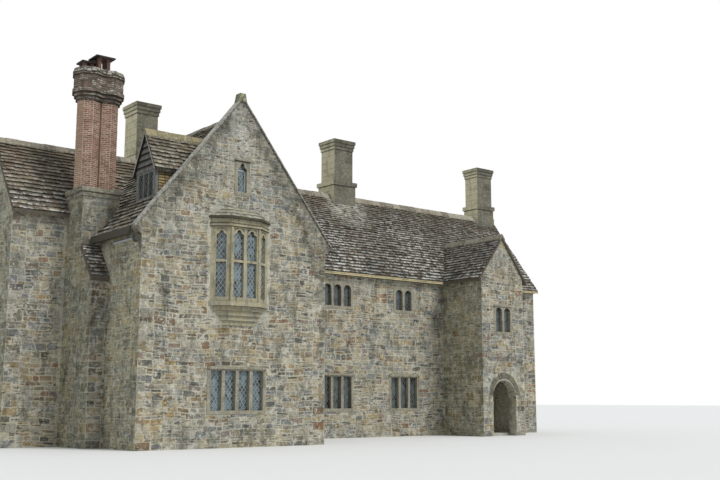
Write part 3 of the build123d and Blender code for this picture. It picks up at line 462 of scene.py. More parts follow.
@dataclass(frozen=True)
class SlateFinish:
    """Stone roof slabs: painted shadow under their tails, pale lichen along them, browner to the ridge."""

    name: str
    palette: tuple[Colour, ...]
    tint: Colour = (1.0, 1.0, 1.0)
    pale: Colour = srgb(218, 217, 209)
    painted_shadow: Colour = srgb(20, 19, 17)
    moss: Colour = srgb(98, 92, 66)
    high: Colour = srgb(122, 100, 78)
    high_share: float = 0.5
    tail_share: float = 1.15
    shade: float = 0.55
    lime: Colour = srgb(206, 203, 190)
    lime_at: tuple[float, float, float] = (0.0, 0.0, -50.0)
    lime_reach: float = 1.5

    def material(self) -> bpy.types.Material:
        """Build the shader.

        Returns:
            The material.
        """
        graph = Graph(self.name)
        fine = graph.noise(30.0, 7, 0.75)
        blotch = graph.noise(6.5, 8, 0.72)
        reach = graph.attribute("reach")
        low = 1.0 - graph.place("Z").steps(8.8, 10.6)
        graph.tones(self.palette)
        graph.tint(self.tint)
        graph.vary(fine.steps(0.36, 0.66), neutral(0.60), neutral(1.36))
        graph.vary(graph.noise(0.7, 5).steps(0.38, 0.62), (0.76, 0.77, 0.79), (1.22, 1.17, 1.08))
        graph.coat(graph.noise(1.9, 6, 0.7).steps(0.52, 0.68) * 0.45, self.moss)
        graph.coat((1.0 - low) * graph.noise(2.2, 6, 0.7).steps(0.38, 0.58) * self.high_share, self.high)
        graph.coat(blotch.steps(0.57, 0.64) * 0.40, self.pale)
        worn = graph.noise(4.2, 8, 0.75).steps(0.47, 0.56)
        spread = graph.noise(0.42, 4).steps(0.42, 0.56) * 0.55 + 0.45
        tails = (1.0 - reach.steps(0.10, 0.50)) * worn * spread * (low * 0.60 + 0.40)
        graph.coat(tails * self.tail_share, self.pale)
        # Painted shadow where the next course's tail laps over each slab.
        graph.coat(reach.steps(0.34, 0.56) * self.shade, self.painted_shadow)
        # Painted shade on the tail faces and on other faces that are not turned up.
        graph.coat(graph.against("Z", -0.10, 0.25) * 0.88, self.painted_shadow)
        lime = (graph.near(self.lime_at, self.lime_reach) * 1.6).math("MINIMUM", 1.0)
        graph.coat(lime * graph.noise(3.3, 6, 0.7).steps(0.40, 0.60) * 0.7, self.lime)
        return graph.surface(0.94 - fine * 0.08, fine * 0.6 + blotch, 0.010, Specular_IOR_Level=0.2)


@dataclass(frozen=True)
class PipeFinish:
    """A grey lead pipe that runs into a dark hopper."""

    name: str
    pipe: Colour
    hopper: Colour
    hopper_end: float = -0.08

    def material(self) -> bpy.types.Material:
        """Build the shader.

        Returns:
            The material.
        """
        graph = Graph(self.name, self.hopper)
        patch = graph.noise(12.0, 5, 0.7)
        graph.coat(graph.place("Y").steps(self.hopper_end, self.hopper_end + 0.01), self.pipe)
        graph.coat(patch.steps(0.5, 0.8) * 0.4, self.hopper)
        return graph.surface(0.55 + patch * 0.2, patch, 0.002)


@dataclass(frozen=True)
class MortarFinish:
    """Lime mortar, pitted and stained."""

    name: str
    colour: Colour
    dark: Colour

    def material(self) -> bpy.types.Material:
        """Build the shader.

        Returns:
            The material.
        """
        graph = Graph(self.name, self.colour)
        patch = graph.noise(2.2, 6, 0.65)
        grit = graph.noise(60.0, 4, 0.7)
        graph.coat(patch.steps(0.35, 0.7), self.dark)
        graph.coat(grit.steps(0.5, 0.75) * 0.4, self.dark)
        return graph.surface(0.95 - grit * 0.05, grit + patch, 0.008, Specular_IOR_Level=0.15)


@dataclass(frozen=True)
class DressedFinish:
    """Dressed sandstone: smooth ochre blocks with lichen and rain stains."""

    name: str
    warm: Colour
    cool: Colour
    under: tuple[float, ...] = ()
    bloom: Colour = srgb(196, 186, 158)
    rain: Colour = srgb(84, 80, 68)
    lichen: Colour = srgb(198, 197, 184)
    damp: Colour = srgb(96, 94, 72)
    under_shade: Colour = srgb(44, 42, 34)
    moss: Colour = srgb(86, 86, 66)

    def material(self) -> bpy.types.Material:
        """Build the shader.

        Returns:
            The material.
        """
        graph = Graph(self.name, self.warm)
        fine = graph.noise(55.0, 5, 0.7)
        streaks = graph.noise(7.0, 5, 0.6, (1.0, 1.0, 0.12))
        graph.coat(graph.noise(2.6, 5, 0.6).steps(0.35, 0.65), self.cool)
        graph.coat(fine.steps(0.35, 0.75) * 0.35, self.bloom)
        graph.coat(streaks.steps(0.50, 0.70) * 0.7, self.rain)
        graph.coat(graph.noise(14.0, 6, 0.7).steps(0.55, 0.62) * 0.50, self.lichen)
        graph.coat(graph.noise(3.4, 7, 0.7).steps(0.53, 0.66) * 0.45, self.damp)
        # Painted shade on the faces turned down.
        graph.coat(graph.underside() * 0.80, self.under_shade)
        graph.coat(graph.normal("Z").steps(0.50, 0.80) * 0.65, self.moss)
        # Painted shadow: a dark line under each moulding.
        if self.under:
            graph.coat(graph.shadows(self.under, 0.040) * 0.78, self.under_shade)
        return graph.surface(0.92 - fine * 0.12, fine * 0.4 + streaks * 0.3, 0.006, Specular_IOR_Level=0.2)


@dataclass(frozen=True)
class BrickFinish:
    """Hand-made brick, with a painted orange highlight on the faces turned to the left."""

    name: str
    palette: tuple[Colour, ...]
    soot_share: float = 0.25
    highlight_share: float = 0.6
    lichen_share: float = 0.15
    under: tuple[float, ...] = ()
    lichen_from: float = 0.53
    left_highlight: Colour = srgb(172, 138, 104)
    dusty: Colour = srgb(176, 152, 134)
    soot: Colour = srgb(66, 60, 56)
    lichen: Colour = srgb(180, 174, 160)
    under_shade: Colour = srgb(34, 30, 28)
    # The colour of the painted shadow lines.
    line: Colour = srgb(38, 34, 32)

    def material(self) -> bpy.types.Material:
        """Build the shader.

        Returns:
            The material.
        """
        graph = Graph(self.name)
        fine = graph.noise(70.0, 5, 0.7)
        patch = graph.noise(3.0, 5, 0.65)
        graph.tones(self.palette)
        # Painted highlight on the faces turned to the left.
        graph.coat(graph.against("X") * self.highlight_share, self.left_highlight)
        graph.coat(fine.steps(0.4, 0.8) * 0.4, self.dusty)
        graph.coat(patch.steps(0.48, 0.70) * self.soot_share, self.soot)
        spots = graph.noise(5.0, 9, 0.76).steps(self.lichen_from, self.lichen_from + 0.07)
        ledge = graph.normal("Z").steps(0.4, 0.8)
        graph.coat((spots + ledge).math("MINIMUM", 1.0) * self.lichen_share, self.lichen)
        # Painted shade on the faces turned down.
        graph.coat(graph.underside() * 0.80, self.under_shade)
        # Painted shadow: a dark line under each step of the head.
        if self.under:
            graph.coat(graph.shadows(self.under, 0.040) * 0.75, self.line)
        return graph.surface(0.94 - fine * 0.1, fine + patch, 0.005, Specular_IOR_Level=0.2)


@dataclass(frozen=True)
class CowlFinish:
    """A stone slab on brick posts, told apart by height. The slab's underside steps up at one place."""

    name: str
    slab: Colour
    brick: Colour
    low_under: float = 13.772
    step_at: float = -3.95
    step: float = 0.22
    blend: float = 0.01

    def material(self) -> bpy.types.Material:
        """Build the shader.

        Returns:
            The material.
        """
        graph = Graph(self.name, self.brick)
        fine = graph.noise(26.0, 7, 0.75)
        under = graph.place("X").steps(self.step_at, self.step_at + self.blend) * self.step + self.low_under
        graph.coat((graph.place("Z") - under).steps(0.0, self.blend), self.slab)
        graph.vary(fine.steps(0.36, 0.64), neutral(0.65), neutral(1.35))
        return graph.surface(0.92 - fine * 0.1, fine, 0.01, Specular_IOR_Level=0.2)


@dataclass(frozen=True)
class OakFinish:
    """Silvered oak, its grain drawn out along one axis. It may turn to level boards above a height."""

    name: str
    light: Colour
    dark: Colour
    along: tuple[float, float, float]
    boards_from: float = 0.0
    board: float = 0.2265
    board_dark: Colour = srgb(84, 82, 78)
    board_light: Colour = srgb(128, 125, 119)
    painted_shadow: Colour = srgb(30, 29, 28)

    def material(self) -> bpy.types.Material:
        """Build the shader.

        Returns:
            The material.
        """
        graph = Graph(self.name, self.dark)
        grain = graph.noise(34.0, 6, 0.7, self.along)
        graph.coat(grain.steps(0.35, 0.7), self.light)
        graph.coat(graph.noise(3.5, 4).steps(0.45, 0.75) * 0.35, self.dark)
        if self.boards_from:
            height = graph.place("Z") - self.boards_from
            share = (height * (1 / self.board)).math("FRACT")
            face = graph.mix(grain.steps(0.4, 0.6), self.board_dark, self.board_light)
            # The upper part of each board takes the painted shadow of the board that laps over it.
            graph.coat(height.steps(0.0, 0.01), graph.mix(share.steps(0.45, 0.85), face, self.painted_shadow))
        return graph.surface(0.88 - grain * 0.15, grain, 0.006, Specular_IOR_Level=0.25)


@dataclass(frozen=True)
class EavesFinish:
    """Roof battens behind a bedded course of ochre stone, which shows under the slabs at the front."""

    name: str
    stone: Colour
    weathered: Colour
    batten_and_shadow: Colour
    shadow_levels: tuple[float, ...]

    def material(self) -> bpy.types.Material:
        """Build the shader.

        Returns:
            The material.
        """
        graph = Graph(self.name, self.stone)
        fine = graph.noise(45.0, 5, 0.7)
        graph.coat(graph.noise(2.6, 6, 0.7).steps(0.44, 0.62), self.weathered)
        # Painted shadow: thin dark lines along the eaves course, in the batten colour.
        graph.coat(graph.shadows(self.shadow_levels, 0.018) * 0.8, self.batten_and_shadow)
        graph.coat(graph.normal("Y").steps(-0.98, -0.85), self.batten_and_shadow)
        graph.vary(fine.steps(0.36, 0.64), neutral(0.84), neutral(1.14))
        return graph.surface(0.92 - fine * 0.1, fine, 0.006, Specular_IOR_Level=0.2)


@dataclass(frozen=True)
class GlassFinish:
    """Old leaded glass: every quarry tilts and tints its own way, with painted sky reflections in patches."""

    name: str
    dark: Colour
    # The colour of the painted sky reflection.
    sky: Colour
    turned_dark: float = 0.70

    def material(self) -> bpy.types.Material:
        """Build the shader.

        Returns:
            The material.
        """
        graph = Graph(self.name, self.dark)
        quarry = graph.attribute("tone")
        turned = graph.against("X", -0.70, -0.40)
        # Painted reflection of the sky, weaker on panes turned to the left.
        painted_reflection = (quarry * 0.55 + graph.noise(2.3, 3, 0.5)).steps(0.42, 1.12)
        graph.coat(painted_reflection * (1.0 - turned * self.turned_dark), self.sky)
        return graph.surface(0.10 + quarry * 0.12, graph.noise(14.0, 2), 0.003, Coat_Weight=0.3)


@dataclass(frozen=True)
class MetalFinish:
    """Lead, painted iron or a bare casement bar."""

    name: str
    colour: Colour
    worn: Colour

    def material(self) -> bpy.types.Material:
        """Build the shader.

        Returns:
            The material.
        """
        graph = Graph(self.name, self.colour)
        patch = graph.noise(12.0, 5, 0.7)
        graph.coat(patch.steps(0.4, 0.75), self.worn)
        return graph.surface(0.5 + patch * 0.3, patch, 0.002)


RUBBLE_PALETTE = (
    srgb(150, 148, 134), srgb(124, 126, 122), srgb(158, 152, 132), srgb(136, 135, 126), srgb(168, 162, 144),
    srgb(116, 118, 116), srgb(146, 138, 118), srgb(132, 134, 130), srgb(164, 154, 128), srgb(110, 110, 106),
    srgb(152, 140, 116), srgb(142, 141, 130), srgb(124, 119, 104), srgb(160, 156, 142), srgb(142, 124, 100),
    srgb(176, 171, 155), srgb(136, 124, 116), srgb(128, 130, 130), srgb(152, 146, 130), srgb(102, 101, 96),
    srgb(144, 142, 132), srgb(134, 120, 110), srgb(156, 152, 138), srgb(120, 122, 122), srgb(130, 104, 82),
    srgb(140, 137, 124), srgb(160, 146, 116), srgb(118, 114, 102), srgb(148, 147, 140), srgb(86, 84, 76),
    srgb(122, 104, 84), srgb(150, 132, 98),
)
JOINT_PALETTE = (srgb(180, 176, 160),)
SLAB_PALETTE = (
    srgb(112, 104, 94), srgb(98, 92, 84), srgb(124, 116, 104), srgb(106, 97, 88), srgb(132, 124, 110),
    srgb(116, 104, 94), srgb(92, 87, 80), srgb(138, 131, 118), srgb(114, 102, 94), srgb(102, 99, 92),
)
RIDGE_PALETTE = (srgb(146, 138, 122), srgb(132, 124, 110), srgb(156, 150, 134), srgb(122, 114, 102))
ASHLAR_PALETTE = (
    srgb(136, 132, 116), srgb(126, 122, 108), srgb(144, 139, 120), srgb(118, 114, 100), srgb(138, 134, 122),
)
# The last colour, taken only by the fillets, is painted shade under the coping's edge.
COPING_PALETTE = (srgb(156, 154, 146), srgb(170, 167, 158), srgb(140, 138, 130), srgb(150, 147, 138),
                  srgb(78, 76, 68))
CHEEK_PALETTE = (srgb(172, 152, 108), srgb(156, 138, 98), srgb(184, 164, 120), srgb(142, 128, 96))
BRICK_PALETTE = (
    srgb(140, 96, 82), srgb(126, 84, 72), srgb(150, 108, 92), srgb(114, 78, 68), srgb(142, 100, 85),
    srgb(160, 126, 108), srgb(110, 74, 64),
)
HEAD_PALETTE = (
    srgb(120, 102, 90), srgb(108, 100, 90), srgb(132, 106, 92), srgb(96, 90, 82), srgb(130, 118, 106),
    srgb(112, 106, 98), srgb(82, 76, 70),
)

FINISHES = {
    "rubble": RubbleFinish("rubble_blocks", RUBBLE_PALETTE),
    "base_rubble": RubbleFinish("stack_rubble_blocks", RUBBLE_PALETTE, grey=srgb(108, 109, 92), shade=0.86),
    "slabs": SlateFinish("roof_slates", SLAB_PALETTE, (0.76, 0.77, 0.78)),
    "hall_slabs": SlateFinish("hall_slates", SLAB_PALETTE, (0.98, 0.96, 0.89), moss=srgb(112, 102, 74),
                              high=srgb(122, 104, 82), tail_share=0.75),
    "range_slabs": SlateFinish("range_slates", SLAB_PALETTE, (0.66, 0.68, 0.70), high=srgb(118, 102, 80),
                               lime_at=(10.24, 6.55, 10.7), lime_reach=1.55),
    "mauve_slabs": SlateFinish("weathering_slates", SLAB_PALETTE, (1.04, 1.0, 1.0)),
    "pale_slabs": SlateFinish("near_slates", SLAB_PALETTE, (0.90, 0.90, 0.85), srgb(206, 204, 192),
                              moss=srgb(122, 114, 82), high=srgb(120, 110, 90), tail_share=1.2),
    "ashlar": StoneFinish("ashlar_blocks", ASHLAR_PALETTE, srgb(184, 182, 170), 0.45, srgb(58, 58, 48), 0.6,
                          46.0, 0.006, dark_from=13.50, under=(11.70, 13.46, 13.62, 13.78), front_shade=0.42,
                          left=srgb(232, 223, 184), left_share=0.78),
    "stack_ashlar": StoneFinish("stack_cornice", ASHLAR_PALETTE, srgb(186, 184, 172), 0.65, srgb(58, 58, 46),
                                0.8, 46.0, 0.008, under=(8.72, 8.885)),
    "coping": StoneFinish("coping_slabs", COPING_PALETTE, srgb(208, 207, 198), 0.75, srgb(70, 70, 60), 0.6,
                          40.0, 0.008, front_shade=0.50, spots_from=0.47),
    "moss": StoneFinish("mossy_saddle", (srgb(122, 120, 96), srgb(120, 118, 100)), srgb(182, 180, 160), 0.6,
                        srgb(52, 50, 36), 1.0, spots_from=0.50),
    "cheeks": StoneFinish("cheek_tiles", CHEEK_PALETTE, srgb(176, 168, 140), 0.35, srgb(78, 70, 52), 0.4,
                          46.0, 0.006),
    "ridge": StoneFinish("ridge_tiles", RIDGE_PALETTE, srgb(188, 186, 174), 0.5, srgb(84, 82, 66), 0.35, 40.0,
                         0.006),
    "ochre_ridge": StoneFinish("ochre_ridge", (srgb(156, 146, 116), srgb(142, 134, 108), srgb(166, 157, 128)),
                               srgb(190, 186, 158), 0.6, srgb(96, 88, 62), 0.5, 40.0, 0.008),
    "tile_backing": MortarFinish("tile_backing", srgb(88, 76, 52), srgb(62, 54, 40)),
    "weathering": StoneFinish("weathering_slabs",
                              (srgb(150, 149, 132), srgb(134, 136, 120), srgb(162, 160, 144)),
                              srgb(200, 200, 188), 0.6, srgb(96, 94, 76), 0.5),
    "mortar": RubbleFinish("lime_mortar", JOINT_PALETTE),
    "base_mortar": RubbleFinish("stack_mortar", JOINT_PALETTE, grey=srgb(108, 109, 92), shade=0.86),
    "flaunching": MortarFinish("lime_flaunching", srgb(188, 186, 176), srgb(142, 140, 128)),
    "brick_mortar": MortarFinish("brick_mortar", srgb(214, 202, 184), srgb(150, 136, 120)),
    "head_mortar": MortarFinish("head_mortar", srgb(100, 93, 84), srgb(62, 58, 52)),
    "dressed": DressedFinish("dressed_stone", srgb(164, 155, 124), srgb(142, 140, 122)),
    # Painted light: the string course is painted brighter than its stone, so that it reads as lit under the
    # eaves.
    "string": DressedFinish("string_stone", srgb(236, 216, 150), srgb(212, 194, 140), (7.03, 7.10)),
    "cornice": DressedFinish("cornice_stone", srgb(166, 158, 130), srgb(140, 135, 114),
                             (7.57, 7.68, 7.87, 7.905)),
    "grey_dressed": DressedFinish("grey_dressed_stone", srgb(146, 141, 124), srgb(128, 126, 116), (10.03,)),
    "brick": BrickFinish("shaft_brick", BRICK_PALETTE, under=(12.33,)),
    "head_brick": BrickFinish("head_brick", HEAD_PALETTE, 0.85, 0.1, 0.95,
                              (12.37, 12.46, 12.59, 13.25, 13.34), 0.505),
    "crest": StoneFinish("crest_stones", (srgb(150, 146, 134), srgb(116, 110, 100), srgb(172, 168, 156)),
                         srgb(204, 201, 190), 0.7, srgb(56, 52, 44), 0.8, 30.0, 0.02, 0.4),
    "cowl": CowlFinish("cowl_stone_and_brick", srgb(48, 50, 45), srgb(108, 84, 76)),
    "oak_upright": OakFinish("oak_posts", srgb(150, 152, 147), srgb(72, 73, 70), (1.0, 1.0, 0.08), 9.47),
    "floor_boards": OakFinish("floor_boards", srgb(150, 116, 78), srgb(92, 66, 42), (0.08, 1.0, 1.0)),
    "roof_core": OakFinish("roof_battens", srgb(112, 106, 92), srgb(70, 66, 58), (0.2, 0.2, 1.0)),
    "range_eaves": EavesFinish("range_eaves_course", srgb(204, 190, 150), srgb(150, 143, 118),
                               srgb(78, 72, 62), (7.054, 7.112)),
    "glass": GlassFinish("leaded_glass", srgb(14, 22, 25), srgb(110, 134, 144)),
    # The dark colours paint shade on the dormer roof's eaves edge and underside. Faces turned to the left
    # stay pale.
    "verge": StoneFinish("dormer_verge", (srgb(58, 54, 48), srgb(66, 60, 52)), srgb(150, 146, 132), 0.2,
                         srgb(40, 38, 34), 0.4, left=srgb(196, 193, 180), left_share=0.62),
    "dark_glass": GlassFinish("shaded_glass", srgb(28, 32, 32), srgb(84, 94, 98)),
    "lead": MetalFinish("lead_cames", srgb(172, 176, 172), srgb(134, 138, 136)),
    "dark_lead": MetalFinish("shaded_lead", srgb(112, 116, 112), srgb(84, 88, 86)),
    "casement": MetalFinish("casement_bars", srgb(196, 200, 198), srgb(150, 156, 156)),
    "gutter": MetalFinish("gutter_box", srgb(44, 42, 30), srgb(70, 66, 50)),
    "rain_pipe": PipeFinish("lead_pipe", srgb(164, 168, 168), srgb(52, 52, 42)),
}


def build_materials() -> dict[str, bpy.types.Material]:
    """Build every finish once."""
    return {name: finish.material() for name, finish in FINISHES.items()}


def settle(piece: bpy.types.Object, replaces: Sequence[str] = ()) -> bpy.types.Object:
    """Link a finished piece, let it ride on the house and hide the CAD nodes that it stands for.

    Args:
        piece: The finished mesh object, at the origin.
        replaces: CAD nodes that it stands for.

    Returns:
        The same object.
    """
    bpy.context.scene.collection.objects.link(piece)
    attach(piece, BODY)
    if replaces:
        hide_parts(*replaces)
    LOG.info("%s: %d faces", piece.name, len(piece.data.polygons))
    return piece


@dataclass
class MeshBuilder:
    """Collects closed pieces, each with one tone, and turns them into one mesh."""

    points: list = field(default_factory=list)
    faces: list = field(default_factory=list)
    tones: list = field(default_factory=list)

    LEAST_FRONT = 0.4
    CORNER = 1.4
    WORN_DEPTH = 0.8

    def add(self, points: Iterable[Sequence[float]], faces: Iterable[Sequence[int]], tone: float) -> None:
        """Add one piece.

        Args:
            points: Its corners.
            faces: Its faces, by corner number.
            tone: Its tone, from 0 to 1.
        """
        start = len(self.points)
        self.points.extend(tuple(point) for point in points)
        for face in faces:
            self.faces.append(tuple(start + i for i in face))
            self.tones.append(tone)

    def add_mesh(self, mesh: bpy.types.Mesh) -> None:
        """Add a plain mesh that is already in its place, keeping each face's tone.

        Args:
            mesh: The mesh.
        """
        start = len(self.points)
        self.points += [tuple(vertex.co) for vertex in mesh.vertices]
        self.faces += [tuple(start + i for i in face.vertices) for face in mesh.polygons]
        tones = [value.value for value in mesh.attributes["tone"].data]
        if mesh.attributes["tone"].domain != "FACE":
            tones = [tones[face.vertices[0]] for face in mesh.polygons]
        self.tones += tones

    def layers(self, rings: Sequence[np.ndarray], tone: float) -> None:
        """Add a solid between rings of equally many points, anticlockwise when the last ring is seen.

        Args:
            rings: The rings, from the back to the front.
            tone: The solid's tone.
        """
        count = len(rings[0])
        last = (len(rings) - 1) * count
        faces: list[Sequence[int]] = [list(range(count))[::-1], [last + i for i in range(count)]]
        for low in range(0, last, count):
            for i in range(count):
                j = (i + 1) % count
                faces.append((low + i, low + j, low + count + j, low + count + i))
        self.add(np.concatenate(rings), faces, tone)

    def cushion(self, ring: Sequence[np.ndarray], out: np.ndarray, sunk: float, proud: float, chamfer: float,
                tone: float) -> None:
        """Add a stone: a flat polygon pushed out from a wall, with its front edges worn off.

        Args:
            ring: The stone's outline on the wall, anticlockwise from outside.
            out: The wall's outward normal.
            sunk: How deep it sits behind the wall face.
            proud: How far its front stands out.
            chamfer: The width of its worn edge, or 0 for a sharp one.
            tone: Its tone.
        """
        outline = np.array(ring)
        front = outline + out * proud
        if not chamfer:
            self.layers([outline - out * sunk, front], tone)
            return
        centre = outline.mean(0)
        spread = outline - centre
        reach = np.linalg.norm(spread, axis=1, keepdims=True)
        inset = spread * np.maximum(self.LEAST_FRONT, 1 - chamfer * self.CORNER / np.maximum(reach, 1e-6))
        shoulder = front - out * min(chamfer, proud * self.WORN_DEPTH)
        self.layers([outline - out * sunk, shoulder, centre + inset + out * proud], tone)

    def bar(self, start: Sequence[float], end: Sequence[float], wide: np.ndarray, tall: np.ndarray,
            tone: float = 0.5) -> None:
        """Add a straight bar with its middle line from start to end.

        Args:
            start: The line's first point.
            end: Its last point.
            wide: Half of the bar's width, as a vector.
            tall: Half of its height, as a vector.
            tone: Its tone.
        """
        run = np.array(end, float) - np.array(start, float)
        if np.dot(np.cross(wide, tall), run) < 0:
            wide = -wide
        square = np.array([-wide - tall, wide - tall, wide + tall, -wide + tall])
        self.layers([square + np.array(start), square + np.array(end)], tone)

    def finish(self, name: str, material: bpy.types.Material, slot: str,
               replaces: Sequence[str] = ()) -> bpy.types.Object:
        """Make the mesh, dress it and let it ride on the house.

        Args:
            name: The piece's name.
            material: Its finish.
            slot: The record's material slot. It is not used.
            replaces: CAD nodes that it stands for.

        Returns:
            The new object.
        """
        mesh = bpy.data.meshes.new(name)
        mesh.from_pydata(self.points, [], self.faces)
        tone = mesh.attributes.new("tone", "FLOAT", "FACE")
        tone.data.foreach_set("value", np.array(self.tones, np.float32))
        mesh.materials.append(material)
        mesh.update()
        return settle(bpy.data.objects.new(name, mesh), replaces)


def clip(ring: list[Point2], a: float, b: float, c: float) -> list[Point2]:
    """Cut a polygon by the half-plane where a*u + b*v <= c.

    Args:
        ring: The polygon.
        a: The half-plane's first factor.
        b: Its second factor.
        c: Its limit.

    Returns:
        What is left of the polygon.
    """
    kept: list[Point2] = []
    for (u0, v0), (u1, v1) in zip(ring, ring[1:] + ring[:1]):
        d0, d1 = a * u0 + b * v0 - c, a * u1 + b * v1 - c
        if d0 <= 0:
            kept.append((u0, v0))
        if (d0 < 0 < d1) or (d1 < 0 < d0):
            share = d0 / (d0 - d1)
            kept.append((u0 + (u1 - u0) * share, v0 + (v1 - v0) * share))
    return kept


def clip_to(ring: list[Point2], outline: Sequence[Point2], margin: float = 0.0) -> list[Point2]:
    """Cut a polygon to a convex outline, drawn in by a margin.

    Args:
        ring: The polygon.
        outline: The convex outline, anticlockwise.
        margin: How far inside the outline the cut lies.

    Returns:
        What is left of the polygon.
    """
    for (pu, pv), (qu, qv) in zip(outline, [*outline[1:], outline[0]]):
        a, b = qv - pv, pu - qu
        size = math.hypot(a, b)
        if size > 1e-9 and len(ring) > 2:
            ring = clip(ring, a / size, b / size, (a * pu + b * pv) / size - margin)
    return ring


def area(ring: Sequence[Point2]) -> float:
    """The area of a polygon."""
    return 0.5 * sum(u0 * v1 - u1 * v0 for (u0, v0), (u1, v1) in zip(ring, [*ring[1:], ring[0]]))


def hull(points: Iterable[Point2]) -> list[Point2]:
    """The convex outline of points, anticlockwise.

    Args:
        points: The points.

    Returns:
        The corners of the outline.
    """
    ordered = sorted({(round(float(u), 4), round(float(v), 4)) for u, v in points})
    chains = []
    for run in (ordered, ordered[::-1]):
        chain: list[Point2] = []
        for u, v in run:
            while len(chain) > 1:
                (u0, v0), (u1, v1) = chain[-2:]
                if (u1 - u0) * (v - v0) - (v1 - v0) * (u - u0) > 1e-7:
                    break
                chain.pop()
            chain.append((u, v))
        chains.append(chain[:-1])
    return chains[0] + chains[1]


def node_points(*nodes: str) -> np.ndarray:
    """The corners of CAD nodes."""
    return np.array([vertex.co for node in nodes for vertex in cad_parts[node].data.vertices])


def islands(node: str) -> list[np.ndarray]:
    """The corners of each separate solid of a CAD node.

    Args:
        node: The node's name.

    Returns:
        One array of corners for each solid.
    """
    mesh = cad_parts[node].data
    parent = list(range(len(mesh.vertices)))

    def root(i: int) -> int:
        """The first corner of the group that a corner belongs to.

        Args:
            i: The corner's number.

        Returns:
            The first corner's number.
        """
        while parent[i] != i:
            parent[i] = parent[parent[i]]
            i = parent[i]
        return i

    places: dict[tuple, int] = {}
    for vertex in mesh.vertices:
        key = tuple(round(c, 4) for c in vertex.co)
        parent[vertex.index] = root(places.setdefault(key, vertex.index))
    for edge in mesh.edges:
        first, second = (root(i) for i in edge.vertices)
        parent[first] = second
    groups: dict[int, list] = {}
    for vertex in mesh.vertices:
        groups.setdefault(root(vertex.index), []).append(tuple(vertex.co))
    return [np.array(group) for group in groups.values()]


class Side(Enum):
    """The way a wall face looks. Its value holds the axis that it crosses, and the sign of its normal."""

    FRONT = (1, -1)
    BACK = (1, 1)
    LEFT = (0, -1)
    RIGHT = (0, 1)

    @property
    def across(self) -> int:
        """The axis of the face's normal."""
        return self.value[0]

    @property
    def along(self) -> int:
        """The axis of the face's width."""
        return 1 - self.value[0]

    @property
    def out(self) -> np.ndarray:
        """The outward normal.

        Returns:
            A vector of length 1.
        """
        normal = np.zeros(3)
        normal[self.across] = self.value[1]
        return normal

    def outermost(self, points: np.ndarray) -> float:
        """Where the outermost of some points lies across the face."""
        values = points[:, self.across] * self.value[1]
        return float(values.max() * self.value[1])


@dataclass(frozen=True)
class Bond:
    """How a wall's stones are laid."""

    course: Point2 = (0.15, 0.29)
    width: Point2 = (0.18, 0.56)
    joint: float = 0.018
    jitter: float = 0.022
    corner: float = 0.060
    proud: Point2 = (0.001, 0.016)
    chamfer: float = 0.007
    split: float = 0.42
    quoin: Point2 = (0.30, 0.54)
    quoin_height: Point2 = (0.20, 0.34)
    wander: float = 0.028
    thin_above: float = 8.8
    thin: float = 0.68


RUBBLE = Bond()
FAR_RUBBLE = Bond(corner=0.0, chamfer=0.0)
BASE_RUBBLE = Bond((0.20, 0.32), (0.26, 0.62), split=0.12)
ASHLAR = Bond((0.26, 0.31), (0.34, 0.62), 0.006, 0.002, corner=0.0, proud=(0.003, 0.008), chamfer=0.004,
              split=0.0, quoin=(0.0, 0.0), wander=0.0)
TILES = Bond((0.130, 0.150), (0.15, 0.28), 0.024, 0.008, corner=0.0, proud=(0.008, 0.020), chamfer=0.0,
             split=0.0, quoin=(0.0, 0.0), wander=0.006)


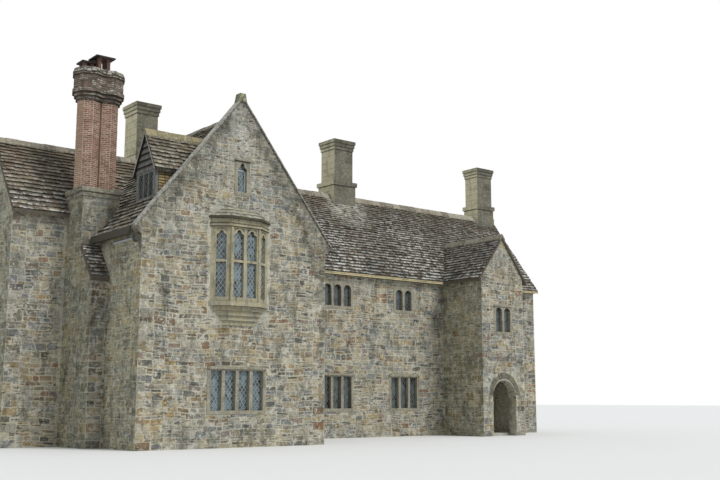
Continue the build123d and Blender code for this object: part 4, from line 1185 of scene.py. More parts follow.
@dataclass
class Facing:
    """Stones laid in courses over one wall face."""

    side: Side
    plane: float
    outline: list[Point2]
    bond: Bond = RUBBLE
    holes: list[Rect] = field(default_factory=list)
    quoins: tuple[bool, bool] = (True, True)
    seed: int = 1
    beds: Optional[Sequence[float]] = None
    round_hole: Optional[tuple[float, float, float]] = None

    COURSE_SEED = 7
    QUOIN_SEED = 29
    LEAST_PLACE = (0.04, 0.025)
    LEAST_AREA = 0.0016
    SPLIT_FROM = 0.16
    SUNK = 0.012

    @classmethod
    def over(cls, side: Side, nodes: Sequence[str], around: Sequence[str] = (),
             **options: object) -> "Facing":
        """A facing over the outermost face of some nodes, less the dressings and blocks that stand in it.

        Args:
            side: The way the face looks.
            nodes: The wall's nodes.
            around: Nodes that the stones go around.
            options: The facing's other fields.

        Returns:
            The facing.
        """
        points = node_points(*nodes)
        plane = side.outermost(points)
        on_face = points[np.abs(points[:, side.across] - plane) < ON_PLANE]
        made = cls(side, plane, hull(on_face[:, [side.along, 2]]), **options)
        made.holes = made.holes + [rect for node in around for rect in made.crossed(node)]
        return made

    @classmethod
    def of_block(cls, side: Side, low: Sequence[float], high: Sequence[float], **options: object) -> "Facing":
        """A facing over one side of an upright block.

        Args:
            side: The way the face looks.
            low: The block's lowest corner.
            high: Its highest corner.
            options: The facing's other fields.

        Returns:
            The facing.
        """
        plane = (high if side.value[1] > 0 else low)[side.across]
        left, right = low[side.along], high[side.along]
        outline = [(left, low[2]), (right, low[2]), (right, high[2]), (left, high[2])]
        return cls(side, float(plane), outline, **options)

    def crossed(self, node: str, margin: float = 0.003) -> list[Rect]:
        """The rectangles that a node's solids take out of this face.

        Args:
            node: The node's name.
            margin: The joint round them.

        Returns:
            The rectangles.
        """
        found = []
        for points in islands(node):
            low, high = points.min(0), points.max(0)
            if low[self.side.across] - 0.01 < self.plane < high[self.side.across] + 0.01:
                along = self.side.along
                found.append((low[along] - margin, low[2] - margin, high[along] + margin, high[2] + margin))
        return found

    def place(self, u: float, v: float) -> np.ndarray:
        """A point of the wall face.

        Args:
            u: The world's x or y.
            v: The height.

        Returns:
            The point.
        """
        point = np.empty(3)
        point[self.side.across] = self.plane
        point[self.side.along] = u
        point[2] = v
        return point

    def courses(self) -> list[Point2]:
        """Course heights from the ground up, the same on every wall of one bond.

        Returns:
            The bed and the top of each course.
        """
        if self.beds is not None:
            return list(zip(self.beds, self.beds[1:]))
        base, top = min(v for _, v in self.outline), max(v for _, v in self.outline)
        dice = random.Random(self.COURSE_SEED)
        low = 0.0
        rows = []
        while low < top:
            height = dice.uniform(*self.bond.course) * (self.bond.thin if low > self.bond.thin_above else 1.0)
            rows.append((low, low + height))
            low += height
        return [row for row in rows if row[1] > base + 0.02]

    def spans(self, low: float, high: float) -> list[Rect]:
        """The free stretches of a course between the wall's ends and its openings.

        Args:
            low: The course's bed.
            high: Its top.

        Returns:
            The stretches.
        """
        us = [u for u, _ in self.outline]
        free: list[Rect] = [(min(us), low, max(us), high)]
        for u0, v0, u1, v1 in self.holes:
            kept: list[Rect] = []
            for left, bed, right, top in free:
                if u1 <= left or u0 >= right or v1 <= bed or v0 >= top:
                    kept.append((left, bed, right, top))
                    continue
                start, end = max(left, u0), min(right, u1)
                around = ((left, bed, u0, top), (u1, bed, right, top), (start, bed, end, v0),
                          (start, v1, end, top))
                kept += [part for part in around if part[0] < part[2] and part[1] < part[3]]
            free = kept
        narrow, thin = self.LEAST_PLACE
        return [part for part in free if part[2] - part[0] > narrow and part[3] - part[1] > thin]

    def lay(self, builder: MeshBuilder) -> None:
        """Lay every stone into a builder, the corner stones first.

        Args:
            builder: Where the stones go.
        """
        dice = random.Random(self.seed)
        for rect in self.quoin_places():
            self.stone(builder, dice, rect, whole=True)
            self.holes.append(rect)
        for low, high in self.courses():
            for left, bed, right, top in self.spans(low, high):
                for start, end in self.widths(dice, left, right):
                    self.stone(builder, dice, (start, bed, end, top))

    def quoin_places(self) -> list[Rect]:
        """Long and short corner stones, up to the shoulder of the wall.

        Returns:
            Their places.
        """
        us = [u for u, _ in self.outline]
        places: list[Rect] = []
        for edge, toward, wanted in ((min(us), 1, self.quoins[0]), (max(us), -1, self.quoins[1])):
            if not wanted or not self.bond.quoin[0]:
                continue
            heights = [v for u, v in self.outline if abs(u - edge) < ON_PLANE]
            dice = random.Random(self.QUOIN_SEED)
            low, number = min(heights), 0
            while low + self.bond.quoin_height[0] < max(heights):
                high = low + dice.uniform(*self.bond.quoin_height)
                long = self.bond.quoin[(number + self.side.across) % 2]
                u0, u1 = sorted((edge, edge + toward * long))
                if all(h[0] >= u1 or h[2] <= u0 or h[1] >= high or h[3] <= low for h in self.holes):
                    places.append((u0, low, u1, high))
                low, number = high, number + 1
        return places

    def widths(self, dice: random.Random, start: float, end: float) -> list[Point2]:
        """Divide a stretch of a course into stones.

        Args:
            dice: The random source.
            start: Where the stretch starts.
            end: Where it ends.

        Returns:
            The start and the end of each stone.
        """
        narrow, wide = self.bond.width
        pieces = []
        while end - start > 1e-6:
            width = dice.uniform(narrow, wide)
            left = end - start
            if left - width < narrow * 0.8:
                width = left if left < wide * 1.1 else left / 2
            pieces.append((start, start + width))
            start += width
        return pieces

    def stone(self, builder: MeshBuilder, dice: random.Random, rect: Rect, whole: bool = False) -> None:
        """Fill one place of a course with one stone, or with two thin ones.

        Args:
            builder: Where the stones go.
            dice: The random source.
            rect: The place.
            whole: True where it is never split.
        """
        left, bed, right, top = rect
        layers = [(bed, top)]
        if not whole and top - bed > self.SPLIT_FROM and dice.random() < self.bond.split:
            middle = bed + (top - bed) * dice.uniform(0.36, 0.64)
            layers = [(bed, middle), (middle, top)]
        for low, high in layers:
            ring = self.ring(dice, (left, low, right, high))
            if not whole:
                ring = [self.wander(u, v) for u, v in ring]
            proud, tone = dice.uniform(*self.bond.proud), dice.random()
            ring = clip_to(ring, self.outline, self.bond.joint / 2)
            if len(ring) < 3 or area(ring) < self.LEAST_AREA or self.in_round_hole(ring):
                continue
            if self.side in (Side.BACK, Side.LEFT):
                ring = ring[::-1]
            points = [self.place(u, v) for u, v in ring]
            builder.cushion(points, self.side.out, self.SUNK, proud, self.bond.chamfer, tone)

    def ring(self, dice: random.Random, rect: Rect) -> list[Point2]:
        """The uneven outline of a stone within its place.

        Args:
            dice: The random source.
            rect: The place.

        Returns:
            The outline, anticlockwise.
        """
        u0, v0, u1, v1 = rect
        half = self.bond.joint / 2
        edge = [dice.uniform(0, self.bond.jitter) + half for _ in range(8)]
        if not self.bond.corner:
            return [(u0 + edge[0], v0 + edge[1]), (u1 - edge[2], v0 + edge[3]), (u1 - edge[4], v1 - edge[5]),
                    (u0 + edge[6], v1 - edge[7])]
        most = min(self.bond.corner, (v1 - v0) / 3, (u1 - u0) / 3)
        cut = [dice.uniform(0.15, 1.0) * most + half for _ in range(8)]
        return [
            (u0 + cut[0], v0 + edge[0]), (u1 - cut[1], v0 + edge[1]), (u1 - edge[2], v0 + cut[2]),
            (u1 - edge[3], v1 - cut[3]), (u1 - cut[4], v1 - edge[4]), (u0 + cut[5], v1 - edge[5]),
            (u0 + edge[6], v1 - cut[6]), (u0 + edge[7], v0 + cut[7]),
        ]

    def wander(self, u: float, v: float) -> Point2:
        """Move a point the way uneven courses run."""
        sway = math.sin(1.9 * u + 0.6 * v) + 0.6 * math.sin(4.7 * u - 1.1 * v + 2.0)
        return (u + self.bond.wander * math.sin(5.3 * v + 1.7 * u), v + self.bond.wander * sway)

    def in_round_hole(self, ring: list[Point2]) -> bool:
        """Whether a stone reaches into the round head of a doorway.

        Args:
            ring: The stone's outline.

        Returns:
            True where it does.
        """
        if not self.round_hole:
            return False
        cu, cv, radius = self.round_hole
        middle = (sum(u for u, _ in ring) / len(ring), sum(v for _, v in ring) / len(ring))
        nearest = min(math.hypot(u - cu, v - cv) for u, v in [*ring, middle])
        return middle[1] > cv and nearest < radius


class Tree(NodeGraph):
    """A Geometry Nodes tree built in code, run on a mesh and turned into a plain mesh."""

    def __init__(self, name: str, **sizes: str) -> None:
        """Open the tree with its geometry input and output.

        Args:
            name: The tree's name.
            sizes: The kind of each named input, with underscores for spaces.
        """
        super().__init__(bpy.data.node_groups.new(name, "GeometryNodeTree"))
        self.name = name
        interface = self.tree.interface
        for way in ("INPUT", "OUTPUT"):
            interface.new_socket("Geometry", in_out=way, socket_type="NodeSocketGeometry")
        self.inputs = {}
        for key, kind in {**sizes, "Material": "Material"}.items():
            label, kind = key.replace("_", " "), "NodeSocket" + kind
            self.inputs[key] = interface.new_socket(label, in_out="INPUT", socket_type=kind).identifier
        outputs = self.tree.nodes.new("NodeGroupInput").outputs
        self.given = {socket.name: Sock(self, socket) for socket in outputs}
        self.index = self.node("GeometryNodeInputIndex")

    def random(self, low: float, high: float, seed: int, identity: Optional[Sock] = None) -> Sock:
        """A random number for each point, or for each value of an identity."""
        inputs = {2: low, 3: high, "Seed": seed} | ({} if identity is None else {"ID": identity})
        return self.node("FunctionNodeRandomValue", inputs=inputs, out=1)

    def vector(self, x: "Sock | float", y: "Sock | float", z: "Sock | float") -> Sock:
        """A vector of three numbers."""
        return self.node("ShaderNodeCombineXYZ", inputs={"X": x, "Y": y, "Z": z})

    def compare(self, operation: str, value: Sock, limit: float) -> Sock:
        """Whether a value lies on one side of a limit."""
        return self.node("FunctionNodeCompare", {"operation": operation}, {0: value, 1: limit})

    def stored(self, name: str) -> Sock:
        """Read a vector that was kept on the points."""
        return self.node("GeometryNodeInputNamedAttribute", {"data_type": "FLOAT_VECTOR"}, {"Name": name})

    def lay(self, unit: Sock, count: Sock, place: Sock, size: Sock, turned: Sock, tone: Sock,
            dropped: Optional[Sock] = None) -> None:
        """Set out points, instance a unit shape on them, realize it and set the material.

        Args:
            unit: The object input that is instanced.
            count: How many points there are.
            place: Where each lies.
            size: How large its shape is, along each axis.
            turned: How the shape is turned, about each axis.
            tone: The shape's tone.
            dropped: Which points are left out.
        """
        line = self.node("GeometryNodeMeshLine", {"mode": "OFFSET"}, {"Count": count})
        points = self.node("GeometryNodeSetPosition", inputs={"Geometry": line, "Position": place})
        for name, value in {"size": size, "turned": turned, "tone": tone}.items():
            settings = {"data_type": "FLOAT" if value is tone else "FLOAT_VECTOR"}
            inputs = {"Geometry": points, "Name": name, "Value": value}
            points = self.node("GeometryNodeStoreNamedAttribute", settings, inputs)
        if dropped is not None:
            inputs = {"Geometry": points, "Selection": dropped}
            points = self.node("GeometryNodeDeleteGeometry", inputs=inputs)
        source = self.node("GeometryNodeObjectInfo", inputs={"Object": unit}, out="Geometry")
        inputs = {"Points": points, "Instance": source, "Rotation": self.stored("turned"),
                  "Scale": self.stored("size")}
        placed = self.node("GeometryNodeInstanceOnPoints", inputs=inputs)
        real = self.node("GeometryNodeRealizeInstances", inputs={"Geometry": placed})
        inputs = {"Geometry": real, "Material": self.given["Material"]}
        self.end("NodeGroupOutput", 0, self.node("GeometryNodeSetMaterial", inputs=inputs))

    def run(self, base: bpy.types.Mesh, name: str, **values: object) -> bpy.types.Mesh:
        """Run the tree on a mesh.

        Args:
            base: The mesh that it starts from.
            name: The new mesh's name.
            values: The inputs by name, with underscores for spaces.

        Returns:
            The plain mesh that it makes.
        """
        carrier = bpy.data.objects.new(name + "_carrier", base)
        bpy.context.scene.collection.objects.link(carrier)
        modifier = carrier.modifiers.new(self.name, "NODES")
        modifier.node_group = self.tree
        for key, value in values.items():
            modifier[self.inputs[key]] = value
        graph = bpy.context.evaluated_depsgraph_get()
        mesh = bpy.data.meshes.new_from_object(carrier.evaluated_get(graph), preserve_all_data_layers=True,
                                               depsgraph=graph)
        mesh.name = name
        carrier.modifiers.remove(modifier)
        bpy.data.objects.remove(carrier)
        return mesh


class Tools:
    """The unit shapes that the trees instance. They leave the scene before it is finished."""

    def __init__(self) -> None:
        """Make the roof slab, the brick and the bar."""
        self.made: list[bpy.types.Object] = []
        self.slab = self.keep("slab_unit", *self.slab_shape())
        reach = self.slab.data.attributes.new("reach", "FLOAT", "POINT")
        reach.data.foreach_set("value", [vertex.co.y for vertex in self.slab.data.vertices])
        self.brick = self.keep("brick_unit", *self.box_shape(0.06))
        self.bar = self.keep("bar_unit", *self.box_shape(0.0))

    def keep(self, name: str, points: list, faces: list) -> bpy.types.Object:
        """Put a unit shape into the scene.

        Args:
            name: Its name.
            points: Its corners.
            faces: Its faces.

        Returns:
            The shape.
        """
        mesh = bpy.data.meshes.new(name)
        mesh.from_pydata(points, [], faces)
        mesh.update()
        made = bpy.data.objects.new(name, mesh)
        bpy.context.scene.collection.objects.link(made)
        self.made.append(made)
        return made

    @staticmethod
    def slab_shape() -> tuple[list, list]:
        """A slab 1 wide along X, 1 long up the slope from its uneven tail, and 1 thick.

        Returns:
            Its corners and faces.
        """
        tail = (0.02, 0.0, 0.035, 0.01, 0.045)
        cuts = len(tail) - 1
        row = cuts + 1
        points, faces = [], []
        for z in (0.0, 1.0):
            points += [(i / cuts - 0.5, start + 0.03 * z, z) for i, start in enumerate(tail)]
            points += [(i / cuts - 0.5, 1.0, z) for i in range(row)]
        top = 2 * row
        for i in range(cuts):
            faces.append((i, row + i, row + i + 1, i + 1))
            faces.append((top + i, top + i + 1, top + row + i + 1, top + row + i))
            faces.append((i, i + 1, top + i + 1, top + i))
            faces.append((row + i, top + row + i, top + row + i + 1, row + i + 1))
        faces.append((0, top, top + row, row))
        faces.append((cuts, row + cuts, top + row + cuts, top + cuts))
        return points, faces

    @staticmethod
    def box_shape(worn: float) -> tuple[list, list]:
        """A box 1 each way about its middle, its front edges (towards -Y) worn off by a share.

        Args:
            worn: The share of the worn edge, or 0 for none.

        Returns:
            Its corners and faces.
        """
        rings = [(0.5, 0.0), (-0.3, 0.0), (-0.5, worn)] if worn else [(0.5, 0.0), (-0.5, 0.0)]
        points = [(x * (0.5 - cut), y, z * (0.5 - cut)) for y, cut in rings
                  for x, z in ((-1, -1), (1, -1), (1, 1), (-1, 1))]
        last = 4 * (len(rings) - 1)
        faces = [(3, 2, 1, 0), (last, last + 1, last + 2, last + 3)]
        for low in range(0, last, 4):
            faces += [(low + i, low + (i + 1) % 4, low + 4 + (i + 1) % 4, low + 4 + i) for i in range(4)]
        return points, faces

    def clear(self) -> None:
        """Take the unit shapes out of the scene."""
        for made in self.made:
            bpy.data.objects.remove(made)


class SlabTree(Tree):
    """Slates one slope: diminishing courses of slabs with wandering joints, kept to the slope's outline."""

    VERGE = 0.006
    JOINT = 0.006
    STRAY = 0.34
    NARROWEST = 0.06
    TILT = -1.25

    def __init__(self) -> None:
        """Build the tree."""
        super().__init__("slate_slope", Length="Float", Reach="Float", Bottom_Gauge="Float",
                         Top_Gauge="Float", Bottom_Width="Float", Top_Width="Float", Thickness="Float",
                         Lap="Float", Sway="Float", Courses="Int", Columns="Int", Seed="Int", Slab="Object")
        given = self.given
        row = (self.index / given["Columns"]).math("FLOOR")
        column = self.index - row * given["Columns"]
        share = row / given["Courses"]
        fall = given["Bottom Gauge"] - given["Top Gauge"]
        gauge = given["Bottom Gauge"] - fall * share
        up = given["Bottom Gauge"] * row - fall * row * (share * 0.5)
        width = given["Bottom Width"] - (given["Bottom Width"] - given["Top Width"]) * share
        left, right = (self.joint(row, column, width, step) for step in (0, 1))
        centre, span = (left + right) * 0.5, right - left
        long = (gauge * given["Lap"]).math("MINIMUM", given["Reach"] - up)
        inputs = {"Vector": self.vector(centre, up, 0.0), "Scale": 0.55, "Detail": 2.0}
        lift = (self.node("ShaderNodeTexNoise", inputs=inputs) - 0.5) * given["Sway"]
        place = self.vector(centre, up + self.random(-0.007, 0.007, 3), lift)
        size = self.vector(span - self.JOINT, long, given["Thickness"] * self.random(0.75, 1.3, 11))
        tilt = given["Thickness"] * self.TILT / long + self.random(-0.025, 0.02, 17)
        turned = self.vector(tilt, self.random(-0.015, 0.015, 19), self.random(-0.010, 0.010, 23))
        dropped = self.off_slope(self.vector(centre, up + gauge * 0.4, 5.0), span)
        count = given["Courses"] * given["Columns"]
        self.lay(given["Slab"], count, place, size, turned, self.random(0.0, 1.0, 5), dropped)

    def joint(self, row: Sock, column: Sock, width: Sock, step: int) -> Sock:
        """Where the joint before a slab lies, or the one after it.

        Args:
            row: The slab's course.
            column: Its number in the course.
            width: The course's slab width.
            step: 0 for the joint before it, 1 for the one after.

        Returns:
            The distance along the eave.
        """
        stray = self.random(-self.STRAY, self.STRAY, 31, self.index + step)
        place = column + step + stray - row.math("MODULO", 2.0) * 0.5
        far = self.given["Length"] - self.VERGE
        return (place * width).math("MAXIMUM", self.VERGE).math("MINIMUM", far)

    def off_slope(self, above: Sock, span: Sock) -> Sock:
        """Which slabs are left out: those that no slope lies under, and slivers.

        Args:
            above: A point over each slab.
            span: Each slab's width.

        Returns:
            True for a slab that is left out.
        """
        inputs = {"Target Geometry": self.given["Geometry"], "Source Position": above,
                  "Ray Direction": (0, 0, -1), "Ray Length": 20.0}
        hit = self.node("GeometryNodeRaycast", inputs=inputs, out="Is Hit")
        wide = self.compare("GREATER_THAN", span, self.NARROWEST)
        kept = self.node("FunctionNodeBooleanMath", {"operation": "AND"}, {0: hit, 1: wide})
        return self.node("FunctionNodeBooleanMath", {"operation": "NOT"}, {0: kept})


class BrickTree(Tree):
    """Lays bricks round an octagonal shaft: a stretcher and a header to a face, turned about each course."""

    FACES = 8
    HEADER_SHARE = 0.36
    UPRIGHT_JOINT = 0.45
    SWING = 0.02

    def __init__(self) -> None:
        """Build the tree."""
        super().__init__("octagon_bricks", Across="Float", Course="Float", Low="Float", Joint="Float",
                         Deep="Float", Proud="Float", Middle="Vector", Courses="Int", Seed="Int",
                         Brick="Object")
        given, around = self.given, 2.0 * self.FACES
        row = (self.index / around).math("FLOOR")
        spot = self.index - row * around
        face = (spot / 2.0).math("FLOOR")
        part = spot - face * 2.0
        angle = (face + 0.5) * (math.tau / self.FACES)
        cosine, sine = angle.math("COSINE"), angle.math("SINE")
        side = given["Across"] * math.tan(math.pi / self.FACES)
        first = row.math("MODULO", 2.0) * (1 - 2 * self.HEADER_SHARE) + self.HEADER_SHARE
        share = (1.0 - part) * first + part * (1.0 - first)
        along = (part * first + share * 0.5 - 0.5) * side
        stand = given["Across"] * 0.5 + (given["Proud"] * self.random(0.4, 1.6, 3) - given["Deep"] * 0.5)
        z = given["Low"] + (row + 0.5) * given["Course"]
        corner = self.vector(along * cosine + stand * sine, along * sine - stand * cosine, z)
        place = self.node("ShaderNodeVectorMath", {"operation": "ADD"}, {0: corner, 1: given["Middle"]})
        upright = given["Joint"] * self.UPRIGHT_JOINT
        size = self.vector(share * side - upright, given["Deep"], given["Course"] - given["Joint"])
        swing = self.random(-self.SWING, self.SWING, 9)
        turned = self.vector(self.random(-self.SWING, self.SWING, 7), 0.0, angle + swing)
        tone = self.random(0.0, 1.0, 5, self.index + given["Seed"])
        self.lay(given["Brick"], given["Courses"] * around, place, size, turned, tone)


class LatticeTree(Tree):
    """Leads a pane: two sets of slanting cames, each cut to the pane's edges, in the pane's own X and Z."""

    SHORTEST = 0.01

    def __init__(self) -> None:
        """Build the tree."""
        super().__init__("lead_lattice", Width="Float", Height="Float", Pitch="Float", Rise="Float",
                         Came="Float", Deep="Float", Count="Int", Bar="Object")
        given, rise, half = self.given, self.given["Rise"], self.given["Width"] * 0.5
        line = (self.index / 2.0).math("FLOOR")
        lean = self.index.math("MODULO", 2.0) * 2.0 - 1.0
        foot = (line + 0.5) * given["Pitch"] + half.math("MODULO", given["Pitch"] * 0.5)
        low = (foot - given["Height"] / rise).math("MAXIMUM", 0.0)
        high = foot.math("MINIMUM", given["Width"])
        run = (high - low).math("MAXIMUM", 0.0)
        middle = (low + high) * 0.5
        place = self.vector(half + (half - middle) * lean, 0.0, (foot - middle) * rise)
        steep = rise.math("ARCTANGENT")
        size = self.vector(run / steep.math("COSINE"), given["Deep"], given["Came"])
        turned = self.vector(0.0, steep * lean * -1.0, 0.0)
        short = self.compare("LESS_THAN", run, self.SHORTEST)
        self.lay(given["Bar"], given["Count"] * 2.0, place, size, turned, self.random(0.0, 1.0, 5), short)


def basis(along: np.ndarray, up: np.ndarray, normal: np.ndarray, origin: np.ndarray) -> Matrix:
    """The matrix that takes a piece's own axes to three directions in the house."""
    return Matrix([[*row] for row in np.column_stack([along, up, normal, origin])] + [[0, 0, 0, 1]])


@dataclass
class Slope:
    """One roof slope: its CAD node, and how its slabs run."""

    node: str
    ridge_along: str
    side: int
    bottom_gauge: float = 0.26
    top_gauge: float = 0.13
    bottom_width: float = 0.46
    top_width: float = 0.25
    thickness: float = 0.034
    set_back: float = 0.0
    lap: float = 1.7
    sway: float = 0.07
    seed: int = 1
    finish: str = "slabs"

    TURNED = 0.3

    @property
    def across(self) -> int:
        """The axis that the slope falls along."""
        return 1 if self.ridge_along == "x" else 0

    def slope_faces(self) -> list[bpy.types.MeshPolygon]:
        """The node's faces that look up and out on this side.

        Returns:
            The faces.
        """
        found = []
        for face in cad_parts[self.node].data.polygons:
            if face.normal[2] > self.TURNED and face.normal[self.across] * self.side > self.TURNED:
                found.append(face)
        return found

    def plane(self) -> tuple[np.ndarray, np.ndarray, np.ndarray, float, float]:
        """Find the slope's plane from its node's faces.

        Returns:
            The eave's start, the way along it, the way up the slope, and the eave's and the slope's lengths.
        """
        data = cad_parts[self.node].data
        faces = self.slope_faces()
        normal = sum(np.array(face.normal) * face.area for face in faces)
        normal = normal / np.linalg.norm(normal)
        points = np.array([data.vertices[i].co for face in faces for i in face.vertices])
        along = np.eye(3)[1 - self.across]
        up = np.cross(normal, along)
        if up[2] < 0:
            along, up = -along, -up
        heights = points @ normal
        points = points[heights > heights.max() - ON_PLANE]
        foot = points[np.argmin(points[:, 2])]
        start, end = (points @ along).min(), (points @ along).max()
        origin = foot + along * (start - foot @ along)
        reach = ((points - origin) @ up).max() - self.set_back
        return origin + up * self.set_back, along, up, end - start, reach

    def outline(self, origin: np.ndarray, along: np.ndarray, up: np.ndarray) -> bpy.types.Mesh:
        """The slope's top faces, flattened into its own plane.

        Args:
            origin: The eave's start.
            along: The way along the eave.
            up: The way up the slope.

        Returns:
            The flat mesh.
        """
        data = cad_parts[self.node].data
        normal = np.cross(along, up)
        points, faces = [], []
        for face in self.slope_faces():
            corners = [np.array(data.vertices[i].co) - origin for i in face.vertices]
            if abs(corners[0] @ normal) < ON_PLANE:
                faces.append(tuple(range(len(points), len(points) + len(corners))))
                points += [(c @ along, c @ up, 0.0) for c in corners]
        flat = bpy.data.meshes.new(self.node + "_outline")
        flat.from_pydata(points, [], faces)
        flat.update()
        return flat

    def slate(self, tree: SlabTree, slab: bpy.types.Object, material: bpy.types.Material) -> bpy.types.Object:
        """Lay the slabs and put them on the slope.

        Args:
            tree: The slating tree.
            slab: The unit slab.
            material: The slabs' finish.

        Returns:
            The finished piece.
        """
        origin, along, up, length, slope = self.plane()
        name = f"{self.node}_slabs_{'low' if self.side < 0 else 'high'}"
        mesh = tree.run(
            self.outline(origin, along, up), name, Length=float(length), Reach=float(slope),
            Bottom_Gauge=self.bottom_gauge, Top_Gauge=self.top_gauge,
            Bottom_Width=self.bottom_width, Top_Width=self.top_width,
            Thickness=self.thickness, Lap=self.lap, Sway=self.sway,
            Courses=math.ceil(2 * slope / (self.bottom_gauge + self.top_gauge)),
            Columns=math.ceil(length / self.top_width) + 3, Seed=self.seed, Slab=slab, Material=material)
        mesh.transform(basis(along, up, np.cross(along, up), origin))
        return settle(bpy.data.objects.new(name, mesh))


@dataclass
class Walls:
    """The rubble facings of every outside wall."""

    materials: dict[str, bpy.types.Material]
    arch_ring: float = 0.26
    arch_stones: int = 11
    arch_clear: float = 0.7
    over_oriel: float = 0.26

    FAR = 20
    ARCH_JOINTS = (0.02, 0.98)
    ARCH_REACH = (0.85, 1.1)
    ARCH_SET = (0.03, 0.022, 0.008)

    def build(self) -> None:
        """Face every wall."""
        self.wing()
        self.hall()
        self.long_range()
        self.porch()

    def lay(self, name: str, *facings: Facing, finish: str = "rubble") -> None:
        """Lay facings into one piece.

        Args:
            name: The piece's name.
            facings: The facings.
            finish: The stones' finish.
        """
        builder = MeshBuilder()
        for facing in facings:
            facing.lay(builder)
        builder.finish(name, self.materials[finish], "rubble_stone")

    def wing(self) -> None:
        """The cross wing: its gable, both sides and its back."""
        bay = Facing.over(Side.FRONT, ["wing_gable_wall"], seed=11)
        bay.holes += bay.crossed("gable_windows_stone") + bay.crossed("bay_window_corbel")
        (low, high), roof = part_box("bay_window_stone"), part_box("bay_window_roof")
        bay.holes.append((low[0], low[2], high[0], roof[1][2]))
        bay.holes.append((roof[0][0], low[2], roof[1][0], high[2] + self.over_oriel))
        sides = ["wing_gable_wall", "wing_left_wall"]
        left = Facing.over(Side.LEFT, sides, ["stack_base", "stack_buttress"], seed=12)
        left.holes.append((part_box("hall_front_roof")[0][1], 0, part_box("hall_back_wall")[1][1], self.FAR))
        right = Facing.over(Side.RIGHT, ["wing_gable_wall", "wing_right_wall"], seed=13)
        right.holes.append((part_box("range_front_wall_left")[0][1], 0, self.FAR, self.FAR))
        back = Facing.over(Side.BACK, ["wing_back_wall"], ["rear_windows_stone"], seed=14, bond=FAR_RUBBLE,
                           quoins=(True, False))
        self.lay("facing_wing_front", bay)
        self.lay("facing_wing_sides", left, right)
        self.lay("facing_wing_back", back)

    def hall(self) -> None:
        """The hall bay: front, end and back."""
        front = Facing.over(Side.FRONT, ["hall_front_wall", "hall_end_wall"], ["stack_base"], seed=21,
                            quoins=(True, False))
        end = Facing.over(Side.LEFT, ["hall_end_wall"], ["end_windows_stone"], seed=22)
        back = Facing.over(Side.BACK, ["hall_back_wall", "hall_end_wall"], ["rear_windows_stone"], seed=23,
                           bond=FAR_RUBBLE, quoins=(True, False))
        self.lay("facing_hall", front, end, back)

    def long_range(self) -> None:
        """The long range: front, end and back."""
        fronts = ["range_front_wall_left", "range_doorway_head", "range_front_wall_right", "range_end_wall"]
        front = Facing.over(Side.FRONT, fronts, ["range_windows_stone", "porch_side_walls"], seed=31,
                            quoins=(False, True))
        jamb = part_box("range_doorway_head")
        front.holes.append((jamb[0][0], 0, jamb[1][0], jamb[0][2]))
        end = Facing.over(Side.RIGHT, ["range_end_wall"], ["end_windows_stone"], seed=32, bond=FAR_RUBBLE)
        back = Facing.over(Side.BACK, ["range_back_wall", "range_end_wall"], ["rear_windows_stone"], seed=33,
                           bond=FAR_RUBBLE, quoins=(False, True))
        self.lay("facing_range_front", front)
        self.lay("facing_range_back", end, back)

    def porch(self) -> None:
        """The porch: its front round the arch, and its sides."""
        low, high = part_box("porch_front_wall")
        middle = (low[0] + high[0]) / 2
        points = node_points("porch_front_wall")
        jambs = sorted({round(float(x), 3) for x, _, z in points if z < ON_PLANE} - {low[0], high[0]})
        half = min(abs(x - middle) for x in jambs)
        spring = max(z for x, _, z in points if abs(abs(x - middle) - half) < ON_PLANE and z < high[2] / 2)
        front = Facing.over(Side.FRONT, ["porch_front_wall"], ["porch_window_stone"], seed=41,
                            round_hole=(middle, spring, half + self.arch_ring))
        front.holes.append((middle - half, 0, middle + half, spring))
        front.holes.append((middle - half, spring, middle + half, spring + half * self.arch_clear))
        sides = ["porch_front_wall", "porch_side_walls"]
        left = Facing.over(Side.LEFT, sides, seed=42)
        right = Facing.over(Side.RIGHT, sides, seed=43, bond=FAR_RUBBLE)
        self.lay("facing_porch", front, left, right)
        self.voussoirs(middle, spring, half, float(low[1]))

    def voussoirs(self, middle: float, spring: float, half: float, face: float) -> None:
        """The arch stones over the porch's doorway.

        Args:
            middle: The arch's centre along the front.
            spring: Its springing height.
            half: Its radius.
            face: The wall's face.
        """
        builder = MeshBuilder()
        dice = random.Random(5)
        for i in range(self.arch_stones):
            start, end = (math.pi * (1 - (i + s) / self.arch_stones) for s in self.ARCH_JOINTS)
            reach = half + self.arch_ring * dice.uniform(*self.ARCH_REACH)
            ring = [(half, start), (half, end), (reach, end), (reach, start)]
            points = [np.array([middle + r * math.cos(a), face, spring + r * math.sin(a)]) for r, a in ring]
            if area([(point[0], point[2]) for point in points]) < 0:
                points = points[::-1]
            builder.cushion(points, Side.FRONT.out, *self.ARCH_SET, dice.random())
        builder.finish("porch_arch_stones", self.materials["ashlar"], "dressed_stone")


